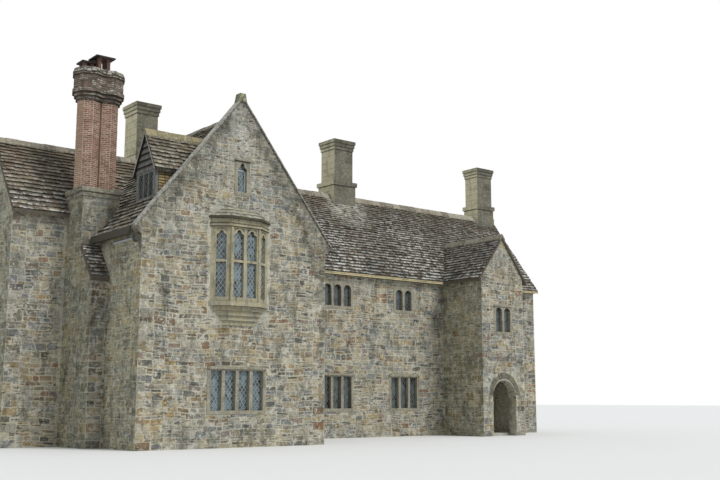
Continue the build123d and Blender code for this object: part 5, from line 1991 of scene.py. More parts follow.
@dataclass
class Roofs:
    """Stone slabs on every slope, and the ridge stones."""

    materials: dict[str, bpy.types.Material]
    ridge_length: Point2 = (0.40, 0.52)
    ridge_joint: float = 0.012
    ridge_lift: Point2 = (-0.012, 0.004)
    ridge_lean: Point2 = (-0.008, 0.008)
    dormer_half: float = 0.13
    dormer_thick: float = 0.06
    dormer_lift: float = 0.03

    def build(self, tools: Tools) -> None:
        """Slate every slope and lay the ridges.

        Args:
            tools: The unit shapes.
        """
        tree = SlabTree()
        for slope in self.slopes():
            slope.slate(tree, tools.slab, self.materials[slope.finish])
        self.ridges()

    @staticmethod
    def slopes() -> list[Slope]:
        """Every slope of the house. The small roofs have narrower courses."""
        small = {"bottom_gauge": 0.19, "top_gauge": 0.13, "bottom_width": 0.34, "top_width": 0.24}
        return [
            Slope("wing_left_roof", "y", -1, seed=1, sway=0.11, thickness=0.045, finish="pale_slabs"),
            Slope("wing_right_roof", "y", 1, seed=2),
            Slope("hall_front_roof", "x", -1, seed=3, bottom_gauge=0.25, top_gauge=0.15, thickness=0.048,
                  finish="hall_slabs"),
            Slope("hall_back_roof", "x", 1, seed=4),
            Slope("range_front_roof", "x", -1, seed=5, thickness=0.042, bottom_gauge=0.20, top_gauge=0.115,
                  bottom_width=0.36, top_width=0.20, finish="range_slabs"),
            Slope("range_back_roof", "x", 1, seed=6, set_back=0.055),
            Slope("porch_roof", "y", -1, seed=7, **small),
            Slope("porch_roof", "y", 1, seed=8, **small),
            Slope("dormer_roof", "x", -1, seed=9, sway=0.05, thickness=0.04, finish="pale_slabs", **small),
            Slope("dormer_roof", "x", 1, seed=10, sway=0.05, **small),
            Slope("buttress_weathering", "x", -1, seed=11, sway=0.02, finish="mauve_slabs", **small),
        ]

    def dormer_ridge(self) -> np.ndarray:
        """The outline of the dormer's own ridge, on the top edge of its roof.

        Returns:
            Its corners.
        """
        points = node_points("dormer_roof")
        low, high = points.min(0), points.max(0)
        middle, half, thick = (low[1] + high[1]) / 2, self.dormer_half, self.dormer_thick
        slope = 2 * (high[2] - points[points[:, 1] < low[1] + ON_PLANE][:, 2].max()) / (high[1] - low[1])
        top = high[2] + self.dormer_lift
        shoulder = top - half * slope
        under = [(-half, shoulder), (0.0, top), (half, shoulder)]
        profile = under + [(y, z + thick) for y, z in under[::-1]]
        return np.array([(x, middle + y, z) for x in (low[0], high[0]) for y, z in profile])

    def ridges(self) -> None:
        """Replace the ridge courses with separate angled stones, and add the dormer's."""
        self.ridge("ridge_stone_lengths", islands("ridge_stones"), "ridge", ["ridge_stones"])
        self.ridge("dormer_ridge_stones", [self.dormer_ridge()], "ochre_ridge")

    def ridge(self, name: str, courses: Sequence[np.ndarray], finish: str,
              replaces: Sequence[str] = ()) -> None:
        """Lay angled stones along ridge courses.

        Args:
            name: The piece's name.
            courses: The corners of each course's solid.
            finish: The stones' finish.
            replaces: The CAD nodes that they stand for.
        """
        builder = MeshBuilder()
        dice = random.Random(61)
        for points in courses:
            low, high = points.min(0), points.max(0)
            axis = 0 if high[0] - low[0] > high[1] - low[1] else 1
            across = 1 - axis
            middle = (low[across] + high[across]) / 2
            half = (high[across] - low[across]) / 2
            edges = points[np.abs(points[:, across] - middle) > half - ON_PLANE]
            bottom, shoulder = edges[:, 2].min(), edges[:, 2].max()
            top = high[2]
            under = top - (shoulder - bottom)
            profile = [(-half, bottom), (0.0, under), (half, bottom), (half, shoulder), (0.0, top),
                       (-half, shoulder)]
            place = low[axis]
            while place < high[axis] - self.ridge_joint:
                long = min(dice.uniform(*self.ridge_length), high[axis] - place)
                lift, lean = dice.uniform(*self.ridge_lift), dice.uniform(*self.ridge_lean)
                rings = []
                for at, wide in ((place, 0.0), (place + long - self.ridge_joint, lean)):
                    ring = np.zeros((len(profile), 3))
                    ring[:, axis] = at
                    ring[:, across] = [middle + u + wide for u, _ in profile]
                    ring[:, 2] = [v + lift for _, v in profile]
                    rings.append(ring if axis == 1 else ring[::-1])
                builder.layers(rings[::-1], dice.random())
                place += long
        builder.finish(name, self.materials[finish], "ridge_tiles", replaces)


@dataclass
class GableCoping:
    """The wing's coping: separate slabs up each verge, the kneelers and the saddle stone."""

    materials: dict[str, bpy.types.Material]
    length: float = 0.82
    joint: float = 0.008
    thick: float = 0.075
    recess: float = 0.035
    saddle_deep: float = 0.32
    saddle_worn: float = 0.02
    wall_face: float = -0.30
    slab_share: float = 0.58
    fillet_from: float = 0.60
    fillet_share: float = 0.34
    pale: float = 0.79
    shaded: float = 0.9

    NEAR_APEX = (0.1, 0.3)
    WELL_UP = 2.0
    KNEELER_TALL = 1.0

    def build(self) -> None:
        """Make the coping in place of its CAD node."""
        points = node_points("wing_gable_coping")
        low, high = points.min(0), points.max(0)
        eave = high[0]
        foot_z = max(z for x, _, z in points if abs(x - eave) < ON_PLANE)
        crown = max(abs(x) for x, _, z in points if z > high[2] - ON_PLANE)
        base = max(abs(x) for x, _, _ in points if abs(x) < self.NEAR_APEX[1])
        apex_z = foot_z + eave * self.slope(points, eave, foot_z)
        slope = (apex_z - foot_z) / eave
        self.slabs(low, high, eave, foot_z, slope)
        self.saddle(low, high, base, crown, apex_z - slope * base)
        self.kneelers(points, low, high)

    @staticmethod
    def slope(points: np.ndarray, eave: float, foot_z: float) -> float:
        """The rise of the coping for each metre across.

        Args:
            points: The coping's corners.
            eave: How far out its feet reach.
            foot_z: How high its feet lie.

        Returns:
            The rise.
        """
        near, far = GableCoping.NEAR_APEX
        inner = [(x, z) for x, _, z in points if near < x < far and z > foot_z + GableCoping.WELL_UP]
        x, z = min(inner, key=lambda pair: pair[1])
        return (z - foot_z) / (eave - x)

    def slabs(self, low: np.ndarray, high: np.ndarray, eave: float, foot_z: float, slope: float) -> None:
        """The thin slabs up both verges.

        Args:
            low: The coping's lowest corner.
            high: Its highest corner.
            eave: How far out its feet reach.
            foot_z: How high its feet lie.
            slope: Its rise for each metre across.
        """
        builder = MeshBuilder()
        dice = random.Random(71)
        size = math.hypot(1, slope)
        count = round(eave * size / self.length)
        drop = self.thick * size
        for side in (-1, 1):
            for i in range(count):
                outer = eave * (1 - i / count) - self.joint / size
                inner = eave * (1 - (i + 1) / count)
                lift = dice.uniform(-0.014, 0.0)
                forward = dice.uniform(0.0, 0.012)
                top = [(x, foot_z + (eave - x) * slope + lift) for x in (outer, inner)]
                slab = (forward, 0.0, self.slab_share, dice.random() * self.pale)
                # The fillet's tone picks the palette's darkest colour: painted shade under each slab's edge.
                fillet = (self.recess, self.fillet_from * drop, self.fillet_share, self.shaded)
                for face, start, depth, tone in (slab, fillet):
                    ring = [(x, z - start) for x, z in top]
                    ring += [(x, z - drop * depth) for x, z in ring[::-1]]
                    front = np.array([[side * x, low[1] + face, z] for x, z in ring])
                    back = front.copy()
                    back[:, 1] = high[1] - (self.recess if start else 0.0)
                    rings = [back, front]
                    if area([(point[0], point[2]) for point in front]) < 0:
                        rings = [each[::-1] for each in rings]
                    builder.layers(rings, tone)
        builder.finish("gable_coping_slabs", self.materials["coping"], "coping_stone", ["wing_gable_coping"])

    def saddle(self, low: np.ndarray, high: np.ndarray, base: float, crown: float, foot: float) -> None:
        """The mossy block at the apex.

        Args:
            low: The coping's lowest corner.
            high: Its highest corner.
            base: Half of the block's width.
            crown: Half of its width at the top.
            foot: The height of its foot.
        """
        builder = MeshBuilder()
        outline = [(-base, foot), (base, foot), (crown, high[2]), (-crown, high[2])]
        worn = self.saddle_worn
        ring = [np.array([x, low[1] + worn, z]) for x, z in outline]
        builder.cushion(ring, Side.FRONT.out, self.saddle_deep - worn, worn, worn, 0.3)
        builder.finish("gable_saddle_stone", self.materials["moss"], "coping_stone")

    def kneelers(self, points: np.ndarray, low: np.ndarray, high: np.ndarray) -> None:
        """The wedge stones that carry the coping's feet.

        Args:
            points: The coping's corners.
            low: Its lowest corner.
            high: Its highest corner.
        """
        builder = MeshBuilder()
        wall = min(abs(x) for x, _, z in points if z < low[2] + ON_PLANE)
        for side in (-1, 1):
            foot = [(x, z) for x, _, z in points if x > wall - ON_PLANE and z < low[2] + self.KNEELER_TALL]
            wedge = hull([(side * x, z) for x, z in foot])
            ring = [np.array([x, self.wall_face, z]) for x, z in wedge]
            builder.cushion(ring, Side.FRONT.out, high[1] - self.wall_face, 0.004, 0.0, 0.5)
        builder.finish("gable_kneelers", self.materials["base_rubble"], "coping_stone")


@dataclass
class AshlarChimney:
    """One square chimney: regular courses on its base and shaft, and jointed mouldings."""

    node: str
    materials: dict[str, bpy.types.Material]
    seed: int
    show_from: float = 9.6
    course: float = 0.285

    LEAST_STAGE = 0.02

    def build(self) -> None:
        """Face every side of every stage."""
        points = node_points(self.node)
        middle = (points.min(0) + points.max(0)) / 2
        heights = sorted({round(float(z), 3) for z in points[:, 2]})
        builder = MeshBuilder()
        for number, (low, high) in enumerate(zip(heights, heights[1:])):
            if high - low < self.LEAST_STAGE or high < self.show_from:
                continue
            half = self.stage_half(points, low, high, middle)
            self.stage(builder, middle, half, max(low, self.show_from), high, number)
        builder.finish(f"{self.node}_blocks", self.materials["ashlar"], "ashlar")

    @staticmethod
    def stage_half(points: np.ndarray, low: float, high: float, middle: np.ndarray) -> np.ndarray:
        """Half of a stage's width and depth: the narrower of what its two beds show.

        Args:
            points: The chimney's corners.
            low: The stage's foot.
            high: Its top.
            middle: The chimney's centre.

        Returns:
            Half of the width and half of the depth.
        """
        halves = []
        for z in (low, high):
            bed = points[np.abs(points[:, 2] - z) < ON_PLANE]
            corners = np.unique(np.round(np.abs(bed[:, :2] - middle[:2]), 3), axis=0)
            halves.append({tuple(corner) for corner in corners})
        shared = halves[0] & halves[1] or halves[1]
        return np.array(max(shared))

    def stage(self, builder: MeshBuilder, middle: np.ndarray, half: np.ndarray, low: float, high: float,
              number: int) -> None:
        """Face one stage's four sides.

        Args:
            builder: Where the blocks go.
            middle: The chimney's centre.
            half: Half of the stage's width and depth.
            low: Its foot.
            high: Its top.
            number: The stage's number, for the random seed.
        """
        courses = max(1, round((high - low) / self.course))
        beds = [low + (high - low) * i / courses for i in range(courses + 1)]
        corners = (*(middle[:2] - half), low), (*(middle[:2] + half), high)
        for place, side in enumerate(Side):
            Facing.of_block(side, *corners, bond=ASHLAR, seed=self.seed + number * 10 + place,
                            quoins=(False, False), beds=beds).lay(builder)


@dataclass
class BrickStack:
    """The twin octagonal brick shafts on their stone base, with corbelled heads."""

    materials: dict[str, bpy.types.Material]
    course: float = 0.0725
    joint: float = 0.015
    deep: float = 0.05
    proud: float = 0.005
    below_eaves: float = 1.0
    over_roof: float = 0.7

    FLAT = math.cos(math.pi / BrickTree.FACES)
    FLUE_REACH = 0.40
    CREST_PROUD = (0.004, 0.045)
    CREST_JOINT = 0.05
    CREST_SUNK = 0.02
    CREST_WORN = 0.016

    def build(self, tools: Tools) -> None:
        """Face the base and lay every brick.

        Args:
            tools: The unit shapes.
        """
        points = node_points("stack_base")
        foot = points[np.abs(points[:, 2]) < ON_PLANE]
        heights = sorted({round(float(z), 3) for z in points[:, 2]})[-3:]
        self.base(foot.min(0)[:2], foot.max(0)[:2], heights[0])
        self.cornice(points, foot.min(0)[:2], foot.max(0)[:2], heights)
        self.bricks(tools)

    def base(self, low: np.ndarray, high: np.ndarray, top: float) -> None:
        """Rubble on the base and its buttress. Where the base stands in the wing, only its top is faced.

        Args:
            low: The base's front left corner.
            high: Its back right corner.
            top: The height at which its cornice starts.
        """
        pier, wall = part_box("stack_buttress"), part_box("wing_left_wall")
        hidden = [(pier[0][0], 0, wall[0][0], pier[1][2]),
                  (wall[0][0], 0, high[0], wall[1][2] - self.below_eaves)]
        attic = top - self.over_roof
        builder = MeshBuilder()
        for seed, side, bed, holes in ((51, Side.FRONT, 0.0, hidden), (52, Side.LEFT, 0.0, []),
                                       (53, Side.RIGHT, attic, []), (54, Side.BACK, attic, [])):
            face = Facing.of_block(side, (*low, bed), (*high, top), seed=seed, bond=BASE_RUBBLE, holes=holes)
            face.lay(builder)
        for seed, side in ((55, Side.LEFT), (56, Side.FRONT)):
            face = Facing.over(side, ["stack_buttress"], seed=seed, bond=BASE_RUBBLE, quoins=(True, False))
            face.lay(builder)
        builder.finish("facing_stack_base", self.materials["base_rubble"], "rubble_stone")

    def cornice(self, points: np.ndarray, low: np.ndarray, high: np.ndarray,
                heights: Sequence[float]) -> None:
        """Blocks on the two steps of the base's cornice.

        Args:
            points: The corners of the base.
            low: Its front left corner.
            high: Its back right corner.
            heights: The cornice's foot, the step between its courses, and its top.
        """
        builder = MeshBuilder()
        widest = points[np.abs(points[:, 2] - heights[2]) < ON_PLANE][:, 0].max()
        for bed, top, edge in ((*heights[:2], (high[0] + points[:, 0].max()) / 2), (*heights[1:], widest)):
            out = edge - high[0]
            for number, side in enumerate(Side):
                corners = (*(low - out), bed), (*(high + out), top)
                Facing.of_block(side, *corners, bond=ASHLAR, seed=57 + number, quoins=(False, False),
                                beds=(bed, top)).lay(builder)
        builder.finish("stack_cornice_blocks", self.materials["stack_ashlar"], "rubble_stone")

    def bricks(self, tools: Tools) -> None:
        """Lay the shafts, the rings, the drum, the band and the crest.

        Args:
            tools: The unit shapes.
        """
        tree = BrickTree()
        base = bpy.data.meshes.new("no_shape")
        shafts, head = node_points("stack_shafts"), node_points("stack_head")
        low, high = shafts.min(0), shafts.max(0)
        middle = float(low[1] + high[1]) / 2
        radius = float(high[1] - low[1]) / 2
        centres = (float(low[0]) + radius, float(high[0]) - radius)
        beds = self.beds(head, middle)
        stages = {"brick": [(float(low[2]), float(high[2]), radius)], "head_brick": []}
        for bed, top in zip(beds, beds[1:]):
            shared = self.reach(head, bed, middle) & self.reach(head, top, middle)
            stages["head_brick"].append((bed, top, max(shared)))
        for name, finish in (("stack_shaft_bricks", "brick"), ("stack_head_bricks", "head_brick")):
            bricks = MeshBuilder()
            for bed, top, size in stages[finish]:
                courses = max(1, round((top - bed) / self.course))
                for number, x in enumerate(centres):
                    bricks.add_mesh(tree.run(
                        base, name, Across=2 * size * self.FLAT, Course=(top - bed) / courses, Low=bed,
                        Joint=self.joint, Deep=self.deep, Proud=self.proud, Middle=(x, middle, 0.0),
                        Courses=courses, Seed=int(bed * 1000) + number, Brick=tools.brick))
            bricks.finish(name, self.materials[finish], "brick")
        levels = (beds[-1], float(head[:, 2].max()))
        self.crest(centres, middle, levels, [max(self.reach(head, level, middle)) for level in levels])

    @staticmethod
    def beds(points: np.ndarray, middle: float) -> list[float]:
        """The heights at which the head's outline changes, up to its widest course and without the flues.

        Args:
            points: The head's corners.
            middle: The octagons' centre along Y.

        Returns:
            The heights.
        """
        heights = sorted({round(float(z), 3) for z in points[:, 2]})
        spread = {z: max(BrickStack.reach(points, z, middle)) for z in heights}
        band = max(z for z in heights if spread[z] > max(spread.values()) - ON_PLANE)
        return [z for z in heights if spread[z] > BrickStack.FLUE_REACH and z <= band]

    @staticmethod
    def reach(points: np.ndarray, height: float, middle: float) -> set[float]:
        """How far the octagons' points reach from the middle at a height, past the flues.

        Args:
            points: The head's corners.
            height: The height.
            middle: The octagons' centre along Y.

        Returns:
            Each distance that is found.
        """
        bed = points[np.abs(points[:, 2] - height) < ON_PLANE]
        away = np.abs(bed[:, 1] - middle)
        return {round(float(reach), 3) for reach in away[away > BrickStack.FLUE_REACH]} or {0.0}

    def crest(self, centres: Sequence[float], middle: float, levels: Sequence[float],
              reaches: Sequence[float]) -> None:
        """Uneven weathered stones on the sloping top course.

        Args:
            centres: The two octagons' centres along X.
            middle: Their centre along Y.
            levels: The course's bed and its top.
            reaches: How far its points reach at the bed and at the top.
        """
        builder = MeshBuilder()
        dice = random.Random(57)
        for x in centres:
            for face in range(BrickTree.FACES):
                corners = []
                for end, step in ((0, 0), (0, 1), (1, 1), (1, 0)):
                    turn = (face + step) * math.tau / BrickTree.FACES
                    across, along = reaches[end] * math.cos(turn), reaches[end] * math.sin(turn)
                    corners.append(np.array([x + across, middle + along, levels[end]]))
                self.crest_face(builder, dice, *corners)
        builder.finish("stack_crest_stones", self.materials["crest"], "brick")

    def crest_face(self, builder: MeshBuilder, dice: random.Random, a: np.ndarray, b: np.ndarray,
                   c: np.ndarray, d: np.ndarray) -> None:
        """Lay two rows of three stones on one face.

        Args:
            builder: Where the stones go.
            dice: The random source.
            a: The face's lower left corner.
            b: Its lower right corner.
            c: Its upper right corner.
            d: Its upper left corner.
        """
        out = np.cross(b - a, d - a)
        out = out / np.linalg.norm(out)
        bed = dice.uniform(0.40, 0.62)
        for foot, head in ((0.0, bed - self.CREST_JOINT), (bed, 1.0)):
            cuts = [0.0, dice.uniform(0.22, 0.42), dice.uniform(0.58, 0.78), 1.0]
            for s, t in zip(cuts, cuts[1:]):
                ring = []
                right_foot, right_head, left_head = t - 0.04, t - self.CREST_JOINT, s + 0.01
                places = ((s, foot), (right_foot, foot), (right_head, head), (left_head, head))
                for across, up in places:
                    left, right = a + (d - a) * up, b + (c - b) * up
                    ring.append(left + (right - left) * across)
                proud = dice.uniform(*self.CREST_PROUD)
                builder.cushion(ring, out, self.CREST_SUNK, proud, self.CREST_WORN, dice.random())


@dataclass
class Glazing:
    """Leaded lights: every pane becomes a lattice of cames over small tilted quarries."""

    materials: dict[str, bpy.types.Material]
    pitch: float = 0.148
    rise: float = 1.35
    came: float = 0.013
    came_depth: float = 0.014
    tilt: float = 0.035
    quarry_thick: float = 0.004
    bar: float = 0.038
    bar_deep: float = 0.012
    bar_out: float = 0.016

    NODES = ("bay_window_glass", "gable_windows_glass", "dormer_glass", "range_windows_glass",
             "rear_windows_glass", "end_windows_glass", "porch_window_glass")
    SHADED = ("dormer_glass", "range_windows_glass", "porch_window_glass")
    SQUARE_ON = 0.95
    LEAST_AREA = 1e-5

    def build(self, tools: Tools) -> None:
        """Glaze every window.

        Args:
            tools: The unit shapes.
        """
        self.casement()
        tree = LatticeTree()
        base = bpy.data.meshes.new("no_pane")
        for node in self.NODES:
            glass, leads = MeshBuilder(), MeshBuilder()
            for number, points in enumerate(islands(node)):
                origin, along, out, width, height = self.pane(points)
                self.quarries(glass, origin, along, out, width, height, number)
                lattice = tree.run(base, node + "_leads", Width=width, Height=height, Pitch=self.pitch,
                                   Rise=self.rise, Came=self.came, Deep=self.came_depth,
                                   Count=math.ceil((width + height / self.rise) / self.pitch), Bar=tools.bar)
                lattice.transform(basis(along, -out, np.array([0, 0, 1.0]), origin))
                leads.add_mesh(lattice)
            shade = "dark_" if node in self.SHADED else ""
            for builder, name, replaced in ((glass, "glass", [node]), (leads, "lead", [])):
                piece = node.replace("glass", "quarries" if replaced else "leads")
                builder.finish(piece, self.materials[shade + name], "leaded_glass", replaced)

    def casement(self) -> None:
        """The pale iron casement in the attic light, below its arched head."""
        points = max(islands("gable_windows_glass"), key=lambda solid: solid[:, 2].max())
        low = points.min(0)
        jambs = points[np.abs(points[:, 2] - low[2]) < ON_PLANE][:, 0]
        left, right = float(jambs.min()), float(jambs.max())
        spring = float(points[np.abs(points[:, 0] - left) < ON_PLANE][:, 2].max())
        half, deep, y = self.bar / 2, self.bar_deep, low[1] - self.bar_out
        builder = MeshBuilder()
        for x in (left + half, right - half):
            builder.bar((x, y, low[2]), (x, y, spring), np.array([half, 0, 0]), np.array([0, deep, 0]))
        for z in (low[2] + half, spring - half):
            builder.bar((left, y, z), (right, y, z), np.array([0, deep, 0]), np.array([0, 0, half]))
        builder.finish("attic_casement", self.materials["casement"], "leaded_glass")

    @staticmethod
    def pane(points: np.ndarray) -> tuple[np.ndarray, np.ndarray, np.ndarray, float, float]:
        """A pane's place, from its solid.

        Args:
            points: The corners of the pane's solid.

        Returns:
            Its lower left corner seen from outside, the way along it, the way out, its width and its height.
        """
        flat = points[:, :2] - points[:, :2].mean(0)
        _, _, axes = np.linalg.svd(flat, full_matrices=False)
        along = np.array([*axes[0], 0.0])
        out = np.array([along[1], -along[0], 0.0])
        middle = points.mean(0)
        outward = middle - MIDDLE_OF_HOUSE
        if abs(out[0]) > Glazing.SQUARE_ON:
            reference = out[0] * (1 if outward[0] > 0 else -1)
        else:
            reference = out[1] * (1 if outward[1] > 0 else -1)
        if reference < 0:
            along, out = -along, -out
        reach = (points - middle) @ along
        low = points[:, 2].min()
        origin = middle + along * reach.min()
        origin[2] = low
        return origin, along, out, float(reach.max() - reach.min()), float(points[:, 2].max() - low)

    def quarries(self, glass: MeshBuilder, origin: np.ndarray, along: np.ndarray, out: np.ndarray,
                 width: float, height: float, number: int) -> None:
        """Cut the pane into diamonds, each tilted a little.

        Args:
            glass: Where the quarries go.
            origin: The pane's lower left corner.
            along: The way along it.
            out: The way out.
            width: Its width.
            height: Its height.
            number: The pane's number, for the random seed.
        """
        dice = random.Random(number * 13 + len(glass.points))
        half, tall = self.pitch / 2, self.pitch / 2 * self.rise
        rows, columns = math.ceil(height / tall) + 2, math.ceil(width / self.pitch) + 2
        for row in range(-1, rows):
            for column in range(-1, columns):
                u = (column + 0.5 * (row % 2)) * self.pitch + width / 2 % half
                v = row * tall
                ring = [(u, v - tall), (u + half, v), (u, v + tall), (u - half, v)]
                ring = clip_to(ring, [(0, 0), (width, 0), (width, height), (0, height)])
                if len(ring) < 3 or area(ring) < self.LEAST_AREA:
                    continue
                lean_u, lean_v = dice.uniform(-self.tilt, self.tilt), dice.uniform(-self.tilt, self.tilt)
                front = np.array([origin + along * a + np.array([0, 0, b])
                                  + out * ((a - u) * lean_u + (b - v) * lean_v) for a, b in ring])
                glass.layers([front - out * self.quarry_thick, front], dice.random())


@dataclass
class Oriel:
    """The oriel's coursed stone weathering over its cornice."""

    materials: dict[str, bpy.types.Material]
    courses: int = 3
    lap: float = 0.25
    width: float = 0.55
    half_joint: float = 0.004
    inset: float = 0.02
    sunk: float = 0.004
    tail: float = 0.034

    def build(self) -> None:
        """Courses of small stones on the three slopes over the cornice."""
        points = node_points("bay_window_roof")
        low, high = points.min(0), points.max(0)
        top = points[points[:, 2] > high[2] - ON_PLANE]
        cornice_z = sorted({round(float(z), 3) for z in points[:, 2]})[-2]
        foot = points[np.abs(points[:, 2] - cornice_z) < ON_PLANE]
        inner = [p for p in foot if low[1] + self.inset < p[1] < high[1] - self.inset] or list(foot)
        front_y = min(p[1] for p in inner)
        front = [p for p in inner if abs(p[1] - front_y) < ON_PLANE]
        left, right = min(front, key=lambda p: p[0]), max(front, key=lambda p: p[0])
        at_wall = [p for p in foot if p[1] > high[1] - ON_PLANE]
        xs = sorted({round(float(p[0]), 3) for p in at_wall})
        wall_left, wall_right = np.array([xs[1], high[1], cornice_z]), np.array([xs[-2], high[1], cornice_z])
        top_left, top_right = min(top, key=lambda p: p[0]), max(top, key=lambda p: p[0])
        builder = MeshBuilder()
        dice = random.Random(81)
        self.courses_on(builder, dice, left, right, top_right, top_left)
        self.courses_on(builder, dice, wall_left, left, top_left, top_left)
        self.courses_on(builder, dice, right, wall_right, top_right, top_right)
        builder.finish("bay_weathering_courses", self.materials["weathering"], "dressed_stone")

    def courses_on(self, builder: MeshBuilder, dice: random.Random, a: np.ndarray, b: np.ndarray,
                   c: np.ndarray, d: np.ndarray) -> None:
        """Lay lapped courses on a slope.

        Args:
            builder: Where the stones go.
            dice: The random source.
            a: The slope's lower left corner.
            b: Its lower right corner.
            c: Its upper right corner.
            d: Its upper left corner.
        """
        a, b, c, d = (np.array(p, float) for p in (a, b, c, d))
        normal = np.cross(b - a, d - a)
        normal = normal / np.linalg.norm(normal)
        for row in range(self.courses):
            low, high = row / self.courses, min(1.0, (row + 1 + self.lap) / self.courses)
            ends = [(a + (d - a) * t, b + (c - b) * t) for t in (low, high)]
            long = np.linalg.norm(ends[0][1] - ends[0][0])
            count = max(1, round(long / self.width))
            cuts = [0.0] + [(i + dice.uniform(-0.2, 0.2)) / count for i in range(1, count)] + [1.0]
            for s, t in zip(cuts, cuts[1:]):
                start, end = s + self.half_joint, t - self.half_joint
                foot = [ends[0][0] + (ends[0][1] - ends[0][0]) * q for q in (start, end)]
                head = [ends[1][0] + (ends[1][1] - ends[1][0]) * q for q in (end, start)]
                ring = np.array([*foot, *head])
                lift = np.array([self.tail, self.tail, self.sunk, self.sunk])[:, None] * normal
                top = ring + lift * dice.uniform(0.8, 1.15)
                builder.layers([ring - normal * self.sunk, top], dice.random())


@dataclass
class Dormer:
    """The dormer's tile-hung cheeks."""

    materials: dict[str, bpy.types.Material]

    def build(self) -> None:
        """Hang both cheeks with small stone tiles."""
        builder = MeshBuilder()
        for side in (Side.FRONT, Side.BACK):
            Facing.over(side, ["dormer_cheeks"], bond=TILES, seed=91, quoins=(False, False)).lay(builder)
        builder.finish("dormer_cheek_tiles", self.materials["cheeks"], "oak")


@dataclass
class Studio:
    """Camera, lamps, floor and background."""

    camera_at: tuple[float, float, float] = (-18.6, -30.0, 1.6)
    heading: float = math.radians(51.0)
    pitch: float = math.radians(9.1)
    lens: float = 50.0
    sensor: float = 36.0
    floor_half: float = 260.0
    floor_drop: float = 0.002
    sun_strength: float = 1.75
    sun_angle: float = math.radians(18)
    sun_toward: tuple[float, float, float] = (-0.30, 0.75, -0.85)
    sun_colour: Colour = (1.0, 0.985, 0.95)
    sky_strength: float = 0.62
    sky_colour: Colour = (0.90, 0.95, 1.0)
    floor_colour: Colour = (0.82, 0.82, 0.81)

    def build(self) -> None:
        """Set up the whole studio."""
        self.camera()
        self.sun()
        self.sky()
        self.floor()
        bpy.context.scene.view_settings.view_transform = "Standard"

    def camera(self) -> None:
        """Place the camera where the photograph was taken."""
        data = bpy.data.cameras.new("camera")
        data.lens = self.lens
        data.sensor_width = self.sensor
        data.clip_end = 1000
        camera = bpy.data.objects.new("camera", data)
        camera.location = self.camera_at
        flat = math.cos(self.pitch)
        look = Vector((flat * math.cos(self.heading), flat * math.sin(self.heading), math.sin(self.pitch)))
        camera.rotation_euler = look.to_track_quat("-Z", "Y").to_euler()
        bpy.context.scene.collection.objects.link(camera)
        bpy.context.scene.camera = camera

    def sun(self) -> None:
        """A broad soft lamp from the right of the camera."""
        data = bpy.data.lights.new("key", "SUN")
        data.energy = self.sun_strength
        data.angle = self.sun_angle
        data.color = self.sun_colour
        key = bpy.data.objects.new("key", data)
        key.rotation_euler = Vector(self.sun_toward).to_track_quat("-Z", "Y").to_euler()
        bpy.context.scene.collection.objects.link(key)

    def sky(self) -> None:
        """An even pale sky for the light, and white where the camera or a reflection sees it."""
        world = bpy.data.worlds.new("studio")
        bpy.context.scene.world = world
        world.use_nodes = True
        graph = NodeGraph(world.node_tree)
        kinds = ("Camera", "Glossy", "Transmission")
        camera, glossy, through = (graph.node("ShaderNodeLightPath", out=f"Is {kind} Ray") for kind in kinds)
        seen = camera.math("MAXIMUM", glossy).math("MAXIMUM", through)
        inputs = {"Color": (*self.sky_colour, 1), "Strength": self.sky_strength}
        sky = graph.node("ShaderNodeBackground", inputs=inputs)
        white = graph.node("ShaderNodeBackground", inputs={"Color": (1, 1, 1, 1)})
        mixed = graph.node("ShaderNodeMixShader", inputs={0: seen, 1: sky, 2: white})
        graph.end("ShaderNodeOutputWorld", 0, mixed)

    def floor(self) -> None:
        """A pale floor at ground level."""
        half, z = self.floor_half, -self.floor_drop
        corners = [(-half, -half, z), (half, -half, z), (half, half, z), (-half, half, z)]
        mesh = bpy.data.meshes.new("floor")
        mesh.from_pydata(corners, [], [(0, 1, 2, 3)])
        mesh.materials.append(Graph("pale_floor", self.floor_colour).surface(0.9))
        floor = bpy.data.objects.new("floor", mesh)
        bpy.context.scene.collection.objects.link(floor)


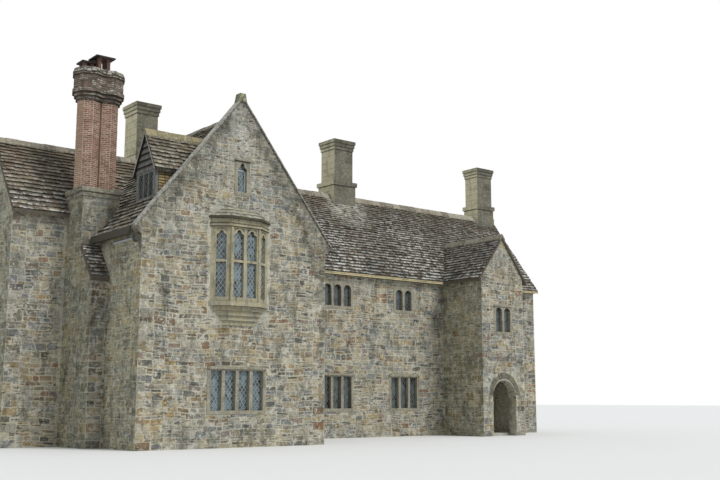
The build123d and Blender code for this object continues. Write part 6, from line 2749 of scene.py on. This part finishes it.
CAD_FINISHES = {
    "mortar": ("wing_gable_wall", "wing_left_wall", "wing_right_wall", "wing_back_wall", "hall_front_wall",
               "hall_end_wall", "hall_back_wall", "range_front_wall_left", "range_doorway_head",
               "range_front_wall_right", "range_end_wall", "range_back_wall", "porch_side_walls",
               "porch_front_wall", "crossing_chimney", "middle_chimney", "end_chimney"),
    "base_mortar": ("stack_base", "stack_buttress"),
    "dressed": ("bay_window_stone", "bay_window_corbel"),
    "string": ("range_cornice",),
    "cornice": ("bay_window_roof",),
    "grey_dressed": ("gable_windows_stone", "range_windows_stone", "rear_windows_stone", "end_windows_stone",
                     "porch_window_stone"),
    "roof_core": ("wing_left_roof", "wing_right_roof", "hall_front_roof", "hall_back_roof", "range_back_roof",
                  "porch_roof", "buttress_weathering"),
    "range_eaves": ("range_front_roof",),
    "verge": ("dormer_roof",),
    "brick_mortar": ("stack_shafts",),
    "head_mortar": ("stack_head",),
    "cowl": ("stack_cowls",),
    "oak_upright": ("dormer_front",),
    "tile_backing": ("dormer_cheeks",),
    "floor_boards": ("first_floor", "attic_floor"),
    "flaunching": ("ground_floor",),
    "gutter": ("wing_gutter",),
    "rain_pipe": ("wing_rain_pipe",),
}


def dress_frame(materials: dict[str, bpy.types.Material]) -> None:
    """Give every CAD node that stays its finish.

    Args:
        materials: The materials by name.
    """
    for finish, nodes in CAD_FINISHES.items():
        for node in nodes:
            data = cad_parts[node].data
            data.materials.clear()
            data.materials.append(materials[finish])


def main() -> None:
    """Build the studio, the finishes and every sub-assembly, in order."""
    Studio().build()
    materials = build_materials()
    dress_frame(materials)
    tools = Tools()
    Walls(materials).build()
    Roofs(materials).build(tools)
    GableCoping(materials).build()
    for number, node in enumerate(("crossing_chimney", "middle_chimney", "end_chimney")):
        AshlarChimney(node, materials, seed=200 + 100 * number).build()
    BrickStack(materials).build(tools)
    Glazing(materials).build(tools)
    Oriel(materials).build()
    Dormer(materials).build()
    tools.clear()


if __name__ == "__main__":
    main()
